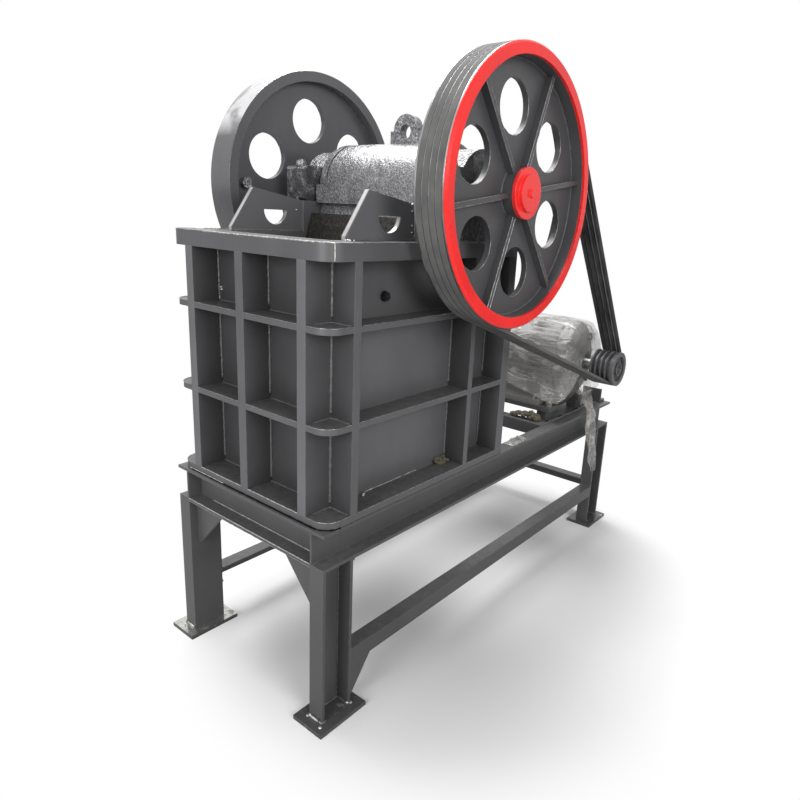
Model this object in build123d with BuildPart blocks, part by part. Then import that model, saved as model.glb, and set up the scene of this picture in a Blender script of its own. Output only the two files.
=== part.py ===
# Small jaw crusher on a steel channel stand, drawn in millimetres.
# +X runs from the feed end to the motor end, +Y away from the belt side, +Z up.
# The origin is on the floor in the middle of the footprint.

import os
from math import asin, atan2, cos, degrees, hypot, radians, sin, tan

from build123d import *

os.makedirs("parts", exist_ok=True)

# Stand: rolled channel, all four sides of the frame and all four legs
base_len = 1650.0
base_wide = 620.0
channel_h = 100.0
channel_w = 48.0
channel_web = 5.3
channel_flange = 8.5
leg_len = 428.0
foot_len = 160.0
foot_wide = 105.0
foot_t = 12.0
angle_size = 45.0
angle_t = 5.0
angle_top = 175.0
gusset_t = 8.0
gusset_set = 24.0
gusset_wide = 130.0
gusset_drop = 140.0
gusset_lip = 12.0
near_gusset_len = 72.0
near_gusset_drop = 96.0

# Crusher body: plates crossing like a noughts-and-crosses grid, with ribs round them
body_len = 762.0
body_setback = 10.0
body_margin = 2.0
rib_depth = 73.0
rib_corner = 45.0
side_t = 30.0
front_set = 79.0
front_t = 24.0
rear_t = 36.0
feed_bar_y = 8.0
side_bar_t = 20.0
side_bar_set = 214.0
flange_plate_t = 20.0
rib_t = 15.0
rib_low_up = 239.0
rib_high_up = 471.0
band_up = 630.0
band_t = 40.0
seat_h = 90.0

# Cheek plates standing on the side plates, each with a half-round lifting hole
cheek_t = 16.0
cheek_set = 127.0
cheek_step = 10.0
cheek_rise = 117.0

# Shaft line, bearings and the swinging jaw
shaft_set = 197.0
shaft_rise = 43.0
shaft_d = 80.0
running_gap = 0.05
eccentric_d = 122.0
eccentric_throw = 10.0
eccentric_inset = 20.0
bore_gap = 6.0
seat_reach = 193.0
seat_end_gap = 12.0
housing_r = 110.0
housing_reach = 175.0
housing_gap = 8.0
housing_w = 87.0
housing_lug_h = 100.0
housing_corner = 10.0
jaw_head_r = 130.0
jaw_side_gap = 3.0
jaw_face_set = 145.0
jaw_skirt = 47.0
jaw_skirt_t = 26.0
jaw_foot_up = 40.0
jaw_toe = 120.0
jaw_heel_x = 170.0
jaw_heel_up = 60.0
jaw_shoulder = 12.0
collar_w = 26.0
collar_groove = 8.0
jaw_plate_t = 32.0
jaw_plate_up = 60.0
throat_gap = 58.0
toggle_inset = 30.0
toggle_t = 24.0
toggle_rise = 130.0
eye_w = 112.0
eye_t = 28.0
eye_r = 44.0
eye_y = -28.0
eye_hole_r = 20.0
eye_rise = 79.0

# Flywheels and belt drive
wheel_r = 350.0
rim_w = 92.0
rim_t = 30.0
ring_t = 8.0
ring_bevel = 5.0
near_rim_gap = 50.0
far_rim_gap = 43.0
web_t = 16.0
web_set = 43.0
wheel_hole_r = 67.0
wheel_hole_in = 143.0
near_turn = 38.6
far_turn = 36.0
wheel_rib_t = 12.0
wheel_rib_h = 21.0
hub_r = 62.0
hub_gap = 8.0
cap_r = 65.0
cap_t = 10.0
cap_boss_r = 47.0
cap_out = 16.0
bolt_r = 11.0
end_plate_t = 18.0
lug_r = 16.0
lug_h = 22.0
lug_in = 71.0
groove_pitch = 19.0
groove_count = 4
groove_top = 17.0
groove_deep = 15.0
groove_half_angle = 19.0
belt_h = 10.0
belt_side_gap = 0.25
belt_out = 0.6
pulley_r = 64.0
pulley_recess = 14.0
pulley_recess_r = 48.0
pulley_hub_r = 24.0

# Motor, its slide bars and the tension brackets
motor_set = 293.0
motor_h = 163.0
motor_r = 152.0
motor_start = 22.0
motor_len = 430.0
shield_len = 46.0
fin_count = 40
fin_t = 4.5
fin_h = 14.0
frame_pads = ((-62, -30), (-150, -118), (-14, 30))
cowl_rows = ((44.0, 12), (68.0, 18), (92.0, 24))
cowl_slot = 13.0
cowl_slot_w = 8.0
cowl_t = 5.0
motor_shaft_d = 42.0
motor_shaft_in = 30.0
motor_foot_set = 84.0
motor_foot_len = 260.0
motor_foot_w = 62.0
motor_foot_t = 18.0
motor_foot_up = 40.0
box_set = 130.0
box_len = 120.0
box_h = 100.0
box_deep = 42.0
box_sunk = 22.0
box_up = 20.0
slide_bar_w = 75.0
slide_bar_t = 18.0
slide_rise = 52.0
slide_reach = 127.0
slide_end = 8.0
spacer_w = 50.0
spacer_len = 40.0
spacer_set = 24.0
deck_bar_w = 45.0
deck_len = 518.0
deck_plate_w = 80.0
deck_plate_t = 10.0
slot_len = 130.0
slot_w = 12.0
slot_front = 118.0
bracket_in = 69.0
bracket_w = 82.0
bracket_leg = 46.0
bracket_rise = 58.0
bracket_t = 10.0
draw_bolt_r = 8.0

# Places worked out from the sizes above
feed = -base_len / 2
motor_end = base_len / 2
half_w = base_wide / 2
frame_low = foot_t + leg_len
frame_top = frame_low + channel_h
body_a = feed + body_setback
body_b = body_a + body_len
body_half = half_w - body_margin
side_out = body_half - rib_depth
side_in = side_out - side_t
front_out = body_a + front_set
front_in = front_out + front_t
rear_in = body_b - rear_t
plate_low = frame_top + flange_plate_t
band_low = frame_top + band_up
band_top = band_low + band_t
seat_z = band_top + seat_h
axis_x = body_b - shaft_set
shaft_z = seat_z + shaft_rise
seat_a = axis_x - seat_reach
housing_out = side_in + housing_gap + housing_w
near_y = -housing_out - near_rim_gap - rim_w
far_y = housing_out + far_rim_gap + rim_w
slide_top = frame_top + slide_rise
pulley_x = motor_end - motor_set
motor_z = slide_top + motor_h
web_in = half_w - channel_w


# Rolled channel section; open_side is +1 or -1 along the local x of the sketch
def channel(center, open_side, tall=True):
    back = channel_w if tall else channel_h
    high = channel_h if tall else channel_w
    with BuildSketch(center) as section:
        Rectangle(back, high)
        if tall:
            with Locations((open_side * channel_web / 2, 0)):
                Rectangle(back - channel_web, high - 2 * channel_flange, mode=Mode.SUBTRACT)
        else:
            with Locations((0, open_side * channel_web / 2)):
                Rectangle(back - 2 * channel_flange, high - channel_web, mode=Mode.SUBTRACT)
    return section.sketch


long_mid_y = half_w - channel_w / 2
frame_mid_z = frame_low + channel_h / 2

with BuildPart() as base_side_channels:
    for side in (-1, 1):
        place = Plane.YZ.offset(feed) * Pos(side * long_mid_y, frame_mid_z)
        extrude(channel(place, side), amount=base_len)

with BuildPart() as base_end_channels:
    for side in (-1, 1):
        place = Plane.XZ.offset(-web_in) * Pos(side * (motor_end - channel_w / 2), frame_mid_z)
        extrude(channel(place, side), amount=2 * web_in)

# Legs: the same channel stood up under each corner, open outward
leg_mid_x = base_len / 2 - channel_h / 2
with BuildPart() as legs:
    for side_x in (-1, 1):
        for side_y in (-1, 1):
            place = Plane.XY.offset(foot_t) * Pos(side_x * leg_mid_x, side_y * long_mid_y)
            extrude(channel(place, side_y, tall=False), amount=leg_len)

with BuildPart() as foot_plates:
    with BuildSketch():
        with GridLocations(2 * leg_mid_x, 2 * long_mid_y, 2, 2):
            Rectangle(foot_len, foot_wide)
    extrude(amount=foot_t)

# Gusset plates: two triangles at the feed end, one under the near stretcher
gusset_x = feed + gusset_set
stretch_low = angle_top - angle_size
with BuildPart() as leg_gussets:
    for side in (-1, 1):
        with BuildSketch(Plane.YZ.offset(gusset_x)):
            with BuildLine():
                Polyline(
                    (side * web_in, frame_low),
                    (side * (web_in - gusset_wide), frame_low),
                    (side * (web_in - gusset_wide), frame_low - gusset_lip),
                    (side * (web_in - gusset_lip), frame_low - gusset_drop),
                    (side * web_in, frame_low - gusset_drop),
                    close=True,
                )
            make_face()
        extrude(amount=gusset_t)
    with BuildSketch(Plane.XZ.offset(half_w)):
        with BuildLine():
            Polyline(
                (feed + channel_h, stretch_low),
                (feed + channel_h + near_gusset_len, stretch_low),
                (feed + channel_h, stretch_low - near_gusset_drop),
                close=True,
            )
        make_face()
    extrude(amount=-angle_t)

# Stretchers: equal angles between the legs, flat leg on top and turned inward
with BuildPart() as long_stretchers:
    for side in (-1, 1):
        edge = Align.MIN if side < 0 else Align.MAX
        with BuildSketch(Plane.YZ.offset(feed + channel_h)):
            with Locations((side * half_w, angle_top)):
                Rectangle(angle_size, angle_size, align=(edge, Align.MAX))
            with Locations((side * (half_w - angle_t), angle_top - angle_t)):
                Rectangle(angle_size, angle_size, align=(edge, Align.MAX), mode=Mode.SUBTRACT)
        extrude(amount=base_len - 2 * channel_h)

with BuildPart() as end_stretcher:
    with BuildSketch(Plane.XZ.offset(-web_in)):
        with Locations((motor_end, angle_top)):
            Rectangle(angle_size, angle_size, align=(Align.MAX, Align.MAX))
        with Locations((motor_end - angle_t, angle_top - angle_t)):
            Rectangle(angle_size, angle_size, align=(Align.MAX, Align.MAX), mode=Mode.SUBTRACT)
    extrude(amount=2 * web_in)


# Outline of the body seen from above, rounded at the two feed corners
def body_outline():
    with BuildSketch() as shape:
        with Locations(((body_a + body_b) / 2, 0)):
            Rectangle(body_len, 2 * body_half)
        corners = shape.vertices().filter_by(lambda v: v.X < body_a + 1)
        fillet(corners, radius=rib_corner)
    return shape.sketch


def strip(x0, x1, y0, y1, mode=Mode.ADD):
    with Locations(((x0 + x1) / 2, (y0 + y1) / 2)):
        Rectangle(x1 - x0, y1 - y0, mode=mode)


side_bar_x = body_b - side_bar_set


# Ring of rib between the crossing plates; each bay is a separate piece of plate
def rib_ring(z):
    with BuildSketch(Plane.XY.offset(z)) as ring:
        add(body_outline())
        strip(front_out, body_b, -side_out, side_out, Mode.SUBTRACT)
        for side in (-1, 1):
            lo = min(side * side_in, side * side_out)
            strip(body_a - 1, front_out, lo, lo + side_t, Mode.SUBTRACT)
            edge = min(side * side_out, side * (body_half + 1))
            strip(front_out, front_in, edge, edge + rib_depth + 1, Mode.SUBTRACT)
            strip(rear_in, body_b + 1, edge, edge + rib_depth + 1, Mode.SUBTRACT)
            strip(side_bar_x, side_bar_x + side_bar_t, edge, edge + rib_depth + 1, Mode.SUBTRACT)
        strip(body_a - 1, front_out, feed_bar_y - side_t / 2, feed_bar_y + side_t / 2, Mode.SUBTRACT)
    return ring.sketch


with BuildPart() as bottom_flange:
    with BuildSketch(Plane.XY.offset(frame_top)):
        add(body_outline())
        strip(front_in, rear_in, -side_in, side_in, Mode.SUBTRACT)
    extrude(amount=flange_plate_t)

with BuildPart() as body_ribs:
    for rise in (rib_low_up, rib_high_up):
        extrude(rib_ring(frame_top + rise), amount=rib_t)

with BuildPart() as top_band:
    with BuildSketch(Plane.XY.offset(band_low)):
        add(body_outline())
        strip(front_out, rear_in, -side_out, side_out, Mode.SUBTRACT)
    extrude(amount=band_t)


# Side plate: stile at the feed end, wall of the chamber, and the seat under the bearing
def side_plate(side):
    with BuildPart() as plate:
        with BuildSketch(Plane.XZ.offset(-side * side_out)):
            with BuildLine():
                Polyline(
                    (body_a, plate_low),
                    (rear_in, plate_low),
                    (rear_in, band_top),
                    (body_b, band_top),
                    (body_b, seat_z),
                    (seat_a, seat_z),
                    (seat_a, band_top),
                    (front_out, band_top),
                    (front_out, band_low),
                    (body_a, band_low),
                    close=True,
                )
            make_face()
            with Locations((axis_x, shaft_z)):
                Circle(shaft_d / 2 + bore_gap, mode=Mode.SUBTRACT)
        extrude(amount=side * side_t)
    return plate


side_plate_near = side_plate(-1)
side_plate_far = side_plate(1)

# Cheek plates: thinner, ground along the sloping front, welded on the side plates
cheek_a = body_a + cheek_set
cheek_len = seat_a - cheek_a
cheek_tip_z = band_top + cheek_rise
lift_x = cheek_a + cheek_len * 0.608
lift_r = cheek_rise * 0.35
lift_z = band_top + cheek_rise * 0.51
with BuildPart() as cheek_plates:
    for side in (-1, 1):
        outer = side * (side_out - (side_t - cheek_t) / 2)
        with BuildSketch(Plane.XZ.offset(-outer)):
            with BuildLine():
                Polyline(
                    (cheek_a, band_top),
                    (cheek_a, band_top + cheek_step),
                    (cheek_a + cheek_len * 0.3, cheek_tip_z),
                    (seat_a, seat_z),
                    (seat_a, band_top),
                    close=True,
                )
            make_face()
            with BuildSketch(Plane.XZ.offset(-outer), mode=Mode.PRIVATE) as hole:
                with Locations((lift_x, lift_z)):
                    Circle(lift_r)
                with Locations((lift_x, lift_z + lift_r)):
                    Rectangle(2.2 * lift_r, 2 * lift_r, mode=Mode.SUBTRACT)
            add(hole.sketch, mode=Mode.SUBTRACT)
        extrude(amount=side * cheek_t)

with BuildPart() as front_wall:
    with BuildSketch(Plane.XY.offset(plate_low)):
        strip(front_out, front_in, -side_in, side_in)
    extrude(amount=band_top - plate_low)
    with BuildSketch(Plane.XY.offset(plate_low)):
        strip(front_out, front_in, -body_half, -side_out)
        strip(front_out, front_in, side_out, body_half)
    extrude(amount=band_low - plate_low)

with BuildPart() as rear_wall:
    with BuildSketch(Plane.XY.offset(plate_low)):
        strip(rear_in, body_b, -body_half, body_half)
    extrude(amount=band_low - plate_low)

# Upright stiffener bars between the ribs: middle of the feed face, both long sides
with BuildPart() as stiffener_bars:
    with BuildSketch(Plane.XY.offset(plate_low)):
        strip(body_a, front_out, feed_bar_y - side_t / 2, feed_bar_y + side_t / 2)
        strip(side_bar_x, side_bar_x + side_bar_t, -body_half, -side_out)
        strip(side_bar_x, side_bar_x + side_bar_t, side_out, body_half)
    extrude(amount=band_low - plate_low)

# Cast pedestals outside the side plates carry the overhang of the bearing housings
with BuildPart() as bearing_pedestals:
    for side in (-1, 1):
        with BuildSketch(Plane.XZ.offset(-side * side_out)):
            with BuildLine():
                Polyline(
                    (seat_a, seat_z),
                    (seat_a, seat_z - seat_h * 0.4),
                    (seat_a + seat_h * 0.3, band_top),
                    (body_b - seat_end_gap, band_top),
                    (body_b - seat_end_gap, seat_z),
                    close=True,
                )
            make_face()
            with Locations((axis_x, shaft_z)):
                Circle(shaft_d / 2 + bore_gap, mode=Mode.SUBTRACT)
        extrude(amount=-side * (housing_out - side_out))


# Bearing housing: thick lug with a round cap, bored to run on the shaft
def bearing_housing(side):
    face = side * (side_in + housing_gap)
    with BuildPart() as house:
        with BuildSketch(Plane.XZ.offset(-face)):
            with Locations((axis_x, shaft_z)):
                Circle(housing_r)
            with Locations((axis_x, seat_z + housing_lug_h / 2)):
                RectangleRounded(2 * housing_reach, housing_lug_h, housing_corner)
            with Locations((axis_x, seat_z - housing_r)):
                Rectangle(2 * housing_reach, 2 * housing_r, mode=Mode.SUBTRACT)
            with Locations((axis_x, shaft_z)):
                Circle(shaft_d / 2 + running_gap, mode=Mode.SUBTRACT)
        extrude(amount=-side * housing_w)
    return house


bearing_housing_near = bearing_housing(-1)
bearing_housing_far = bearing_housing(1)

# Jaw plates: the fixed one leans on the front wall, the moving one on the swing jaw
jaw_half = side_in - jaw_side_gap
with BuildPart() as fixed_jaw_plate:
    with BuildSketch(Plane.XZ.offset(-jaw_half)):
        with BuildLine():
            Polyline(
                (front_in, plate_low + jaw_plate_up),
                (front_in + jaw_plate_t, plate_low + jaw_plate_up),
                (front_in + jaw_plate_t, band_top - cheek_step),
                (front_in, band_top - cheek_step),
                close=True,
            )
        make_face()
    extrude(amount=2 * jaw_half)

# Swing jaw: round head over the shaft, flat skirt in front, leaning body below
jaw_low_x = front_in + 2 * jaw_plate_t + throat_gap
jaw_low_z = plate_low + jaw_foot_up
jaw_face_x = axis_x - jaw_face_set
skirt_z = shaft_z - jaw_skirt
head_bore = eccentric_d / 2 + eccentric_throw + bore_gap
axis_plane = Plane((axis_x, 0, shaft_z), x_dir=(0, 1, 0), z_dir=(1, 0, 0))
along_y = Axis((axis_x, 0, shaft_z), (0, 1, 0))


def band_of(y0, y1, r0, r1, mode=Mode.ADD):
    with Locations(((y0 + y1) / 2, (r0 + r1) / 2)):
        Rectangle(y1 - y0, r1 - r0, mode=mode)


with BuildPart() as swing_jaw:
    with BuildSketch(Plane.XZ.offset(-jaw_half)):
        with BuildLine():
            Polyline(
                (jaw_face_x, shaft_z + bore_gap),
                (jaw_face_x, skirt_z),
                (jaw_face_x + jaw_skirt_t, skirt_z),
                (jaw_low_x, jaw_low_z),
                (jaw_low_x + jaw_toe, jaw_low_z),
                (jaw_low_x + jaw_heel_x, jaw_low_z + jaw_heel_up),
                (axis_x + jaw_head_r - jaw_shoulder, shaft_z - jaw_heel_up),
                (axis_x, shaft_z + bore_gap),
                close=True,
            )
        make_face()
        with Locations((axis_x, shaft_z)):
            Circle(jaw_head_r)
        with Locations((axis_x, shaft_z)):
            Circle(head_bore, mode=Mode.SUBTRACT)
    extrude(amount=2 * jaw_half)
    with BuildSketch(axis_plane) as collars:
        for side in (-1, 1):
            middle = side * (jaw_half - collar_w)
            band_of(middle - collar_groove / 2, middle + collar_groove / 2, jaw_head_r - 4, jaw_head_r + 1)
    revolve(collars.sketch, axis=along_y, mode=Mode.SUBTRACT)

# The moving plate lies along the leaning front of the swing jaw
with BuildPart() as moving_jaw_plate:
    lean = atan2(jaw_face_x + jaw_skirt_t - jaw_low_x, skirt_z - jaw_low_z)
    ux = -cos(lean) * jaw_plate_t
    uz = sin(lean) * jaw_plate_t
    plate_top = skirt_z - jaw_foot_up
    top_x = jaw_low_x + (plate_top - jaw_low_z) * tan(lean)
    with BuildSketch(Plane.XZ.offset(-jaw_half)):
        with BuildLine():
            Polyline(
                (jaw_low_x, jaw_low_z),
                (top_x, plate_top),
                (top_x + ux, plate_top + uz),
                (jaw_low_x + ux, jaw_low_z + uz),
                close=True,
            )
        make_face()
    extrude(amount=2 * jaw_half)

# Toggle plate: the strut that holds the foot of the swing jaw off the rear wall
heel_x = jaw_low_x + jaw_heel_x
heel_z = jaw_low_z + jaw_heel_up
with BuildPart() as toggle_plate:
    with BuildSketch(Plane.XZ.offset(toggle_inset - jaw_half)):
        with BuildLine():
            Polyline(
                (heel_x, heel_z),
                (heel_x + jaw_heel_up / 6, heel_z - toggle_t * 0.8),
                (rear_in, jaw_low_z + toggle_rise),
                (rear_in, jaw_low_z + toggle_rise + toggle_t),
                close=True,
            )
        make_face()
    extrude(amount=2 * (jaw_half - toggle_inset))

# Cast lifting eye on the crown of the swing jaw
eye_top = shaft_z + jaw_head_r + eye_rise
with BuildPart() as lifting_eye:
    with BuildSketch(Plane.YZ.offset(axis_x - eye_t / 2)):
        with Locations((eye_y, eye_top - eye_r)):
            Circle(eye_r)
        with Locations((eye_y, shaft_z + jaw_head_r - bore_gap)):
            Rectangle(eye_w, eye_rise / 2, align=(Align.CENTER, Align.MIN))
        with Locations((eye_y, eye_top - eye_r - 4)):
            Circle(eye_hole_r, mode=Mode.SUBTRACT)
    extrude(amount=eye_t)
    with BuildSketch(Plane.XZ.offset(-jaw_half)):
        with Locations((axis_x, shaft_z)):
            Circle(jaw_head_r)
    extrude(amount=2 * jaw_half, mode=Mode.SUBTRACT)

# Rotor: shaft with an eccentric middle inside the jaw head
rotor_half = cap_out - near_y
rim_in = wheel_r - rim_t
near_web = near_y + web_set
far_web = far_y - web_set
groove_mid = near_y + ring_t + (rim_w - ring_t) / 2
groove_low = groove_top / 2 - groove_deep * tan(radians(groove_half_angle))
belt_top = groove_top / 2 - belt_side_gap
belt_low = belt_top - belt_h * tan(radians(groove_half_angle))
pulley_plane = Plane((pulley_x, 0, motor_z), x_dir=(0, 1, 0), z_dir=(1, 0, 0))
along_pulley = Axis((pulley_x, 0, motor_z), (0, 1, 0))

with BuildPart() as eccentric_shaft:
    with BuildSketch(Plane.XZ.offset(-rotor_half + end_plate_t)):
        with Locations((axis_x, shaft_z)):
            Circle(shaft_d / 2)
    extrude(amount=rotor_half - end_plate_t - near_y - cap_t)
    with BuildSketch(Plane.XZ.offset(-(jaw_half - eccentric_inset))):
        with Locations((axis_x, shaft_z + eccentric_throw)):
            Circle(eccentric_d / 2)
    extrude(amount=2 * (jaw_half - eccentric_inset))


def groove_cuts(outer_r):
    for step in range(groove_count):
        y = groove_mid + (step - (groove_count - 1) / 2) * groove_pitch
        with BuildLine() as groove:
            Polyline(
                (y - groove_top / 2, outer_r),
                (y - groove_low, outer_r - groove_deep),
                (y + groove_low, outer_r - groove_deep),
                (y + groove_top / 2, outer_r),
                (y + groove_top / 2, outer_r + 1),
                (y - groove_top / 2, outer_r + 1),
                close=True,
            )
        make_face(groove.edges(), mode=Mode.SUBTRACT)


# Plate web with holes cut between the ribs; the ribs stand on its outer side
def wheel_web(web_a, turn):
    with BuildPart() as web:
        with BuildSketch(axis_plane):
            band_of(web_a, web_a + web_t, hub_r, rim_in)
        revolve(axis=along_y)
        with BuildSketch(Plane.XZ.offset(-(web_a + web_t + 1))) as holes:
            with Locations((axis_x, shaft_z)):
                with PolarLocations(wheel_r - wheel_hole_in, 6, start_angle=turn):
                    Circle(wheel_hole_r)
        extrude(holes.sketch, amount=web_t + 2, mode=Mode.SUBTRACT)
    return web


def wheel_ribs(y, turn):
    with BuildSketch(Plane.XZ.offset(-y)) as bars:
        with Locations((axis_x, shaft_z)):
            Circle(rim_in)
            Circle(hub_r, mode=Mode.SUBTRACT)
            with PolarLocations((rim_in + hub_r) / 2, 6, start_angle=turn + 30):
                Rectangle(rim_in, wheel_rib_t, mode=Mode.INTERSECT)
    return bars.sketch


with BuildPart() as near_wheel_rim:
    with BuildSketch(axis_plane):
        band_of(near_y + ring_t, near_y + rim_w, rim_in, wheel_r)
        groove_cuts(wheel_r)
    revolve(axis=along_y)

near_wheel_web = wheel_web(near_web, near_turn)

with BuildPart() as far_wheel_rim:
    with BuildSketch(axis_plane):
        band_of(far_y - rim_w, far_y, rim_in, wheel_r)
    revolve(axis=along_y)

far_wheel_web = wheel_web(far_web - web_t, far_turn)

# Hubs: thick-walled sleeves on the shaft, from beside the housing to the end plates
with BuildPart() as wheel_hubs:
    with BuildSketch(axis_plane):
        band_of(near_y + cap_t, -housing_out - hub_gap, shaft_d / 2, hub_r)
        band_of(housing_out + hub_gap, far_y - cap_t, shaft_d / 2, hub_r)
    revolve(axis=along_y)

with BuildPart() as flywheel_ribs:
    extrude(wheel_ribs(near_web, near_turn), amount=wheel_rib_h)
    extrude(wheel_ribs(far_web, far_turn), amount=-wheel_rib_h)

with BuildPart() as flywheel_ring:
    with BuildSketch(axis_plane):
        band_of(near_y, near_y + ring_t, rim_in, wheel_r)
        with BuildLine():
            Polyline(
                (near_y, wheel_r - ring_bevel),
                (near_y + ring_bevel, wheel_r),
                (near_y, wheel_r),
                close=True,
            )
        make_face(mode=Mode.SUBTRACT)
    revolve(axis=along_y)

with BuildPart() as hub_cap:
    with BuildSketch(axis_plane):
        band_of(near_y, near_y + cap_t, 0, cap_r)
        band_of(near_y - cap_t, near_y, 0, cap_boss_r)
        band_of(near_y - cap_out, near_y - cap_t, 0, bolt_r)
    revolve(axis=along_y)

with BuildPart() as far_end_plate:
    with BuildSketch(axis_plane):
        band_of(rotor_half - end_plate_t, rotor_half - cap_t, 0, cap_boss_r)
        band_of(rotor_half - cap_t, rotor_half, 0, bolt_r)
    revolve(axis=along_y)

# Cast balance weight on the inner face of the far web, seen past the far cheek
with BuildPart() as balance_weight:
    with BuildSketch(Plane.XZ.offset(web_t - far_web)):
        with Locations((axis_x - wheel_r + lug_in, shaft_z)):
            Circle(lug_r)
    extrude(amount=lug_h)

with BuildPart() as motor_pulley:
    with BuildSketch(pulley_plane):
        band_of(near_y, near_y + rim_w, motor_shaft_d / 2, pulley_r)
        groove_cuts(pulley_r)
        band_of(near_y, near_y + pulley_recess, pulley_hub_r, pulley_recess_r, Mode.SUBTRACT)
    revolve(axis=along_pulley)

motor_front = -half_w + motor_start
with BuildPart() as motor_shaft:
    with BuildSketch(pulley_plane):
        band_of(near_y + ring_t, motor_front + motor_shaft_in, 0, motor_shaft_d / 2)
    revolve(axis=along_pulley)

# Belts: four loops round flywheel and pulley, standing just off the groove walls
span_x = pulley_x - axis_x
span_z = motor_z - shaft_z
span = hypot(span_x, span_z)
tilt = atan2(span_z, span_x)
wrap = asin((wheel_r - pulley_r) / span)
run = span * cos(wrap)
mids = [groove_mid + (i - (groove_count - 1) / 2) * groove_pitch for i in range(groove_count)]


def belt_faces(place, radius):
    with BuildSketch(place) as faces:
        for y in mids:
            with BuildLine():
                Polyline(
                    (y - belt_top, radius + belt_out),
                    (y - belt_low, radius + belt_out - belt_h),
                    (y + belt_low, radius + belt_out - belt_h),
                    (y + belt_top, radius + belt_out),
                    close=True,
                )
            make_face()
    return faces.sketch


def spoke_plane(x, z, angle):
    return Plane((x, 0, z), x_dir=(0, 1, 0), z_dir=(sin(angle), 0, -cos(angle)))


upper_spoke = tilt + radians(90) - wrap
lower_spoke = tilt - radians(90) + wrap
round_wheel = Axis((axis_x, 0, shaft_z), (0, -1, 0))
round_pulley = Axis((pulley_x, 0, motor_z), (0, -1, 0))
with BuildPart() as drive_belts:
    top_start = belt_faces(spoke_plane(axis_x, shaft_z, upper_spoke), wheel_r)
    low_start = belt_faces(spoke_plane(axis_x, shaft_z, lower_spoke), wheel_r)
    low_end = belt_faces(spoke_plane(pulley_x, motor_z, lower_spoke), pulley_r)
    extrude(top_start, amount=run)
    extrude(low_start, amount=-run)
    revolve(top_start, axis=round_wheel, revolution_arc=180 + 2 * degrees(wrap))
    revolve(low_end, axis=round_pulley, revolution_arc=180 - 2 * degrees(wrap))

# Motor: frame with cooling fins and smooth pads, drive-end shield, slotted fan cowl,
# cast feet, terminal box
motor_back = motor_front + motor_len
with BuildPart() as motor_frame:
    with BuildSketch(Plane.XZ.offset(shield_len - motor_back)):
        with Locations((pulley_x, motor_z)):
            Circle(motor_r - fin_h)
            with PolarLocations(motor_r - fin_h, fin_count):
                Rectangle(3 * fin_h, fin_t)
        for first, last in frame_pads:
            with BuildLine():
                Polyline(
                    (pulley_x, motor_z),
                    (
                        pulley_x + 2 * motor_r * cos(radians(first)),
                        motor_z + 2 * motor_r * sin(radians(first)),
                    ),
                    (
                        pulley_x + 2 * motor_r * cos(radians(last)),
                        motor_z + 2 * motor_r * sin(radians(last)),
                    ),
                    close=True,
                )
            make_face()
        with Locations((pulley_x, motor_z)):
            Circle(motor_r, mode=Mode.INTERSECT)
    extrude(amount=motor_len - 2 * shield_len)

with BuildPart() as motor_shields:
    with BuildSketch(pulley_plane):
        with BuildLine():
            Polyline(
                (motor_front, motor_shaft_d / 2 + running_gap),
                (motor_front, motor_r * 0.45),
                (motor_front + 18, motor_r * 0.85),
                (motor_front + shield_len - 12, motor_r + 4),
                (motor_front + shield_len, motor_r + 4),
                (motor_front + shield_len, motor_shaft_d / 2 + running_gap),
                close=True,
            )
        make_face()
        with BuildLine():
            Polyline(
                (motor_back, 0),
                (motor_back, motor_r * 0.8),
                (motor_back - 20, motor_r * 0.96),
                (motor_back - shield_len, motor_r * 0.96),
                (motor_back - shield_len, 0),
                close=True,
            )
        make_face()
    revolve(axis=along_pulley)
    with BuildSketch(Plane.XZ.offset(-motor_back)):
        with Locations((pulley_x, motor_z)):
            for row_r, row_count in cowl_rows:
                with PolarLocations(row_r, row_count):
                    Rectangle(cowl_slot, cowl_slot_w)
    extrude(amount=cowl_t, mode=Mode.SUBTRACT)

foot_y0 = motor_front + motor_foot_set
foot_y1 = foot_y0 + motor_foot_len
foot_in = slide_reach - motor_foot_w / 2
foot_out = slide_reach + motor_foot_w / 2
foot_top = slide_top + motor_foot_t
with BuildPart() as motor_feet:
    for side in (-1, 1):
        with BuildSketch(Plane.XZ.offset(-foot_y1)):
            with BuildLine():
                Polyline(
                    (pulley_x + side * foot_in, slide_top),
                    (pulley_x + side * foot_out, slide_top),
                    (pulley_x + side * foot_out, foot_top),
                    (pulley_x + side * (slide_reach + motor_foot_t / 4), foot_top + motor_foot_t / 2),
                    (pulley_x + side * (slide_reach - motor_foot_t / 3), motor_z - motor_foot_up),
                    (pulley_x + side * (foot_in - motor_foot_up * 0.75), motor_z - motor_foot_up),
                    close=True,
                )
            make_face()
            with Locations((pulley_x, motor_z)):
                Circle(motor_r, mode=Mode.SUBTRACT)
        extrude(amount=foot_y1 - foot_y0)

with BuildPart() as terminal_box:
    with BuildSketch(Plane.YZ.offset(pulley_x + motor_r - box_sunk)):
        with Locations((motor_front + box_set, motor_z + box_up)):
            RectangleRounded(box_len, box_h, 8)
    extrude(amount=box_deep + box_sunk)
    with BuildSketch(Plane.XZ.offset(-motor_front)):
        with Locations((pulley_x, motor_z)):
            Circle(motor_r)
    extrude(amount=-motor_len, mode=Mode.SUBTRACT)

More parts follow.
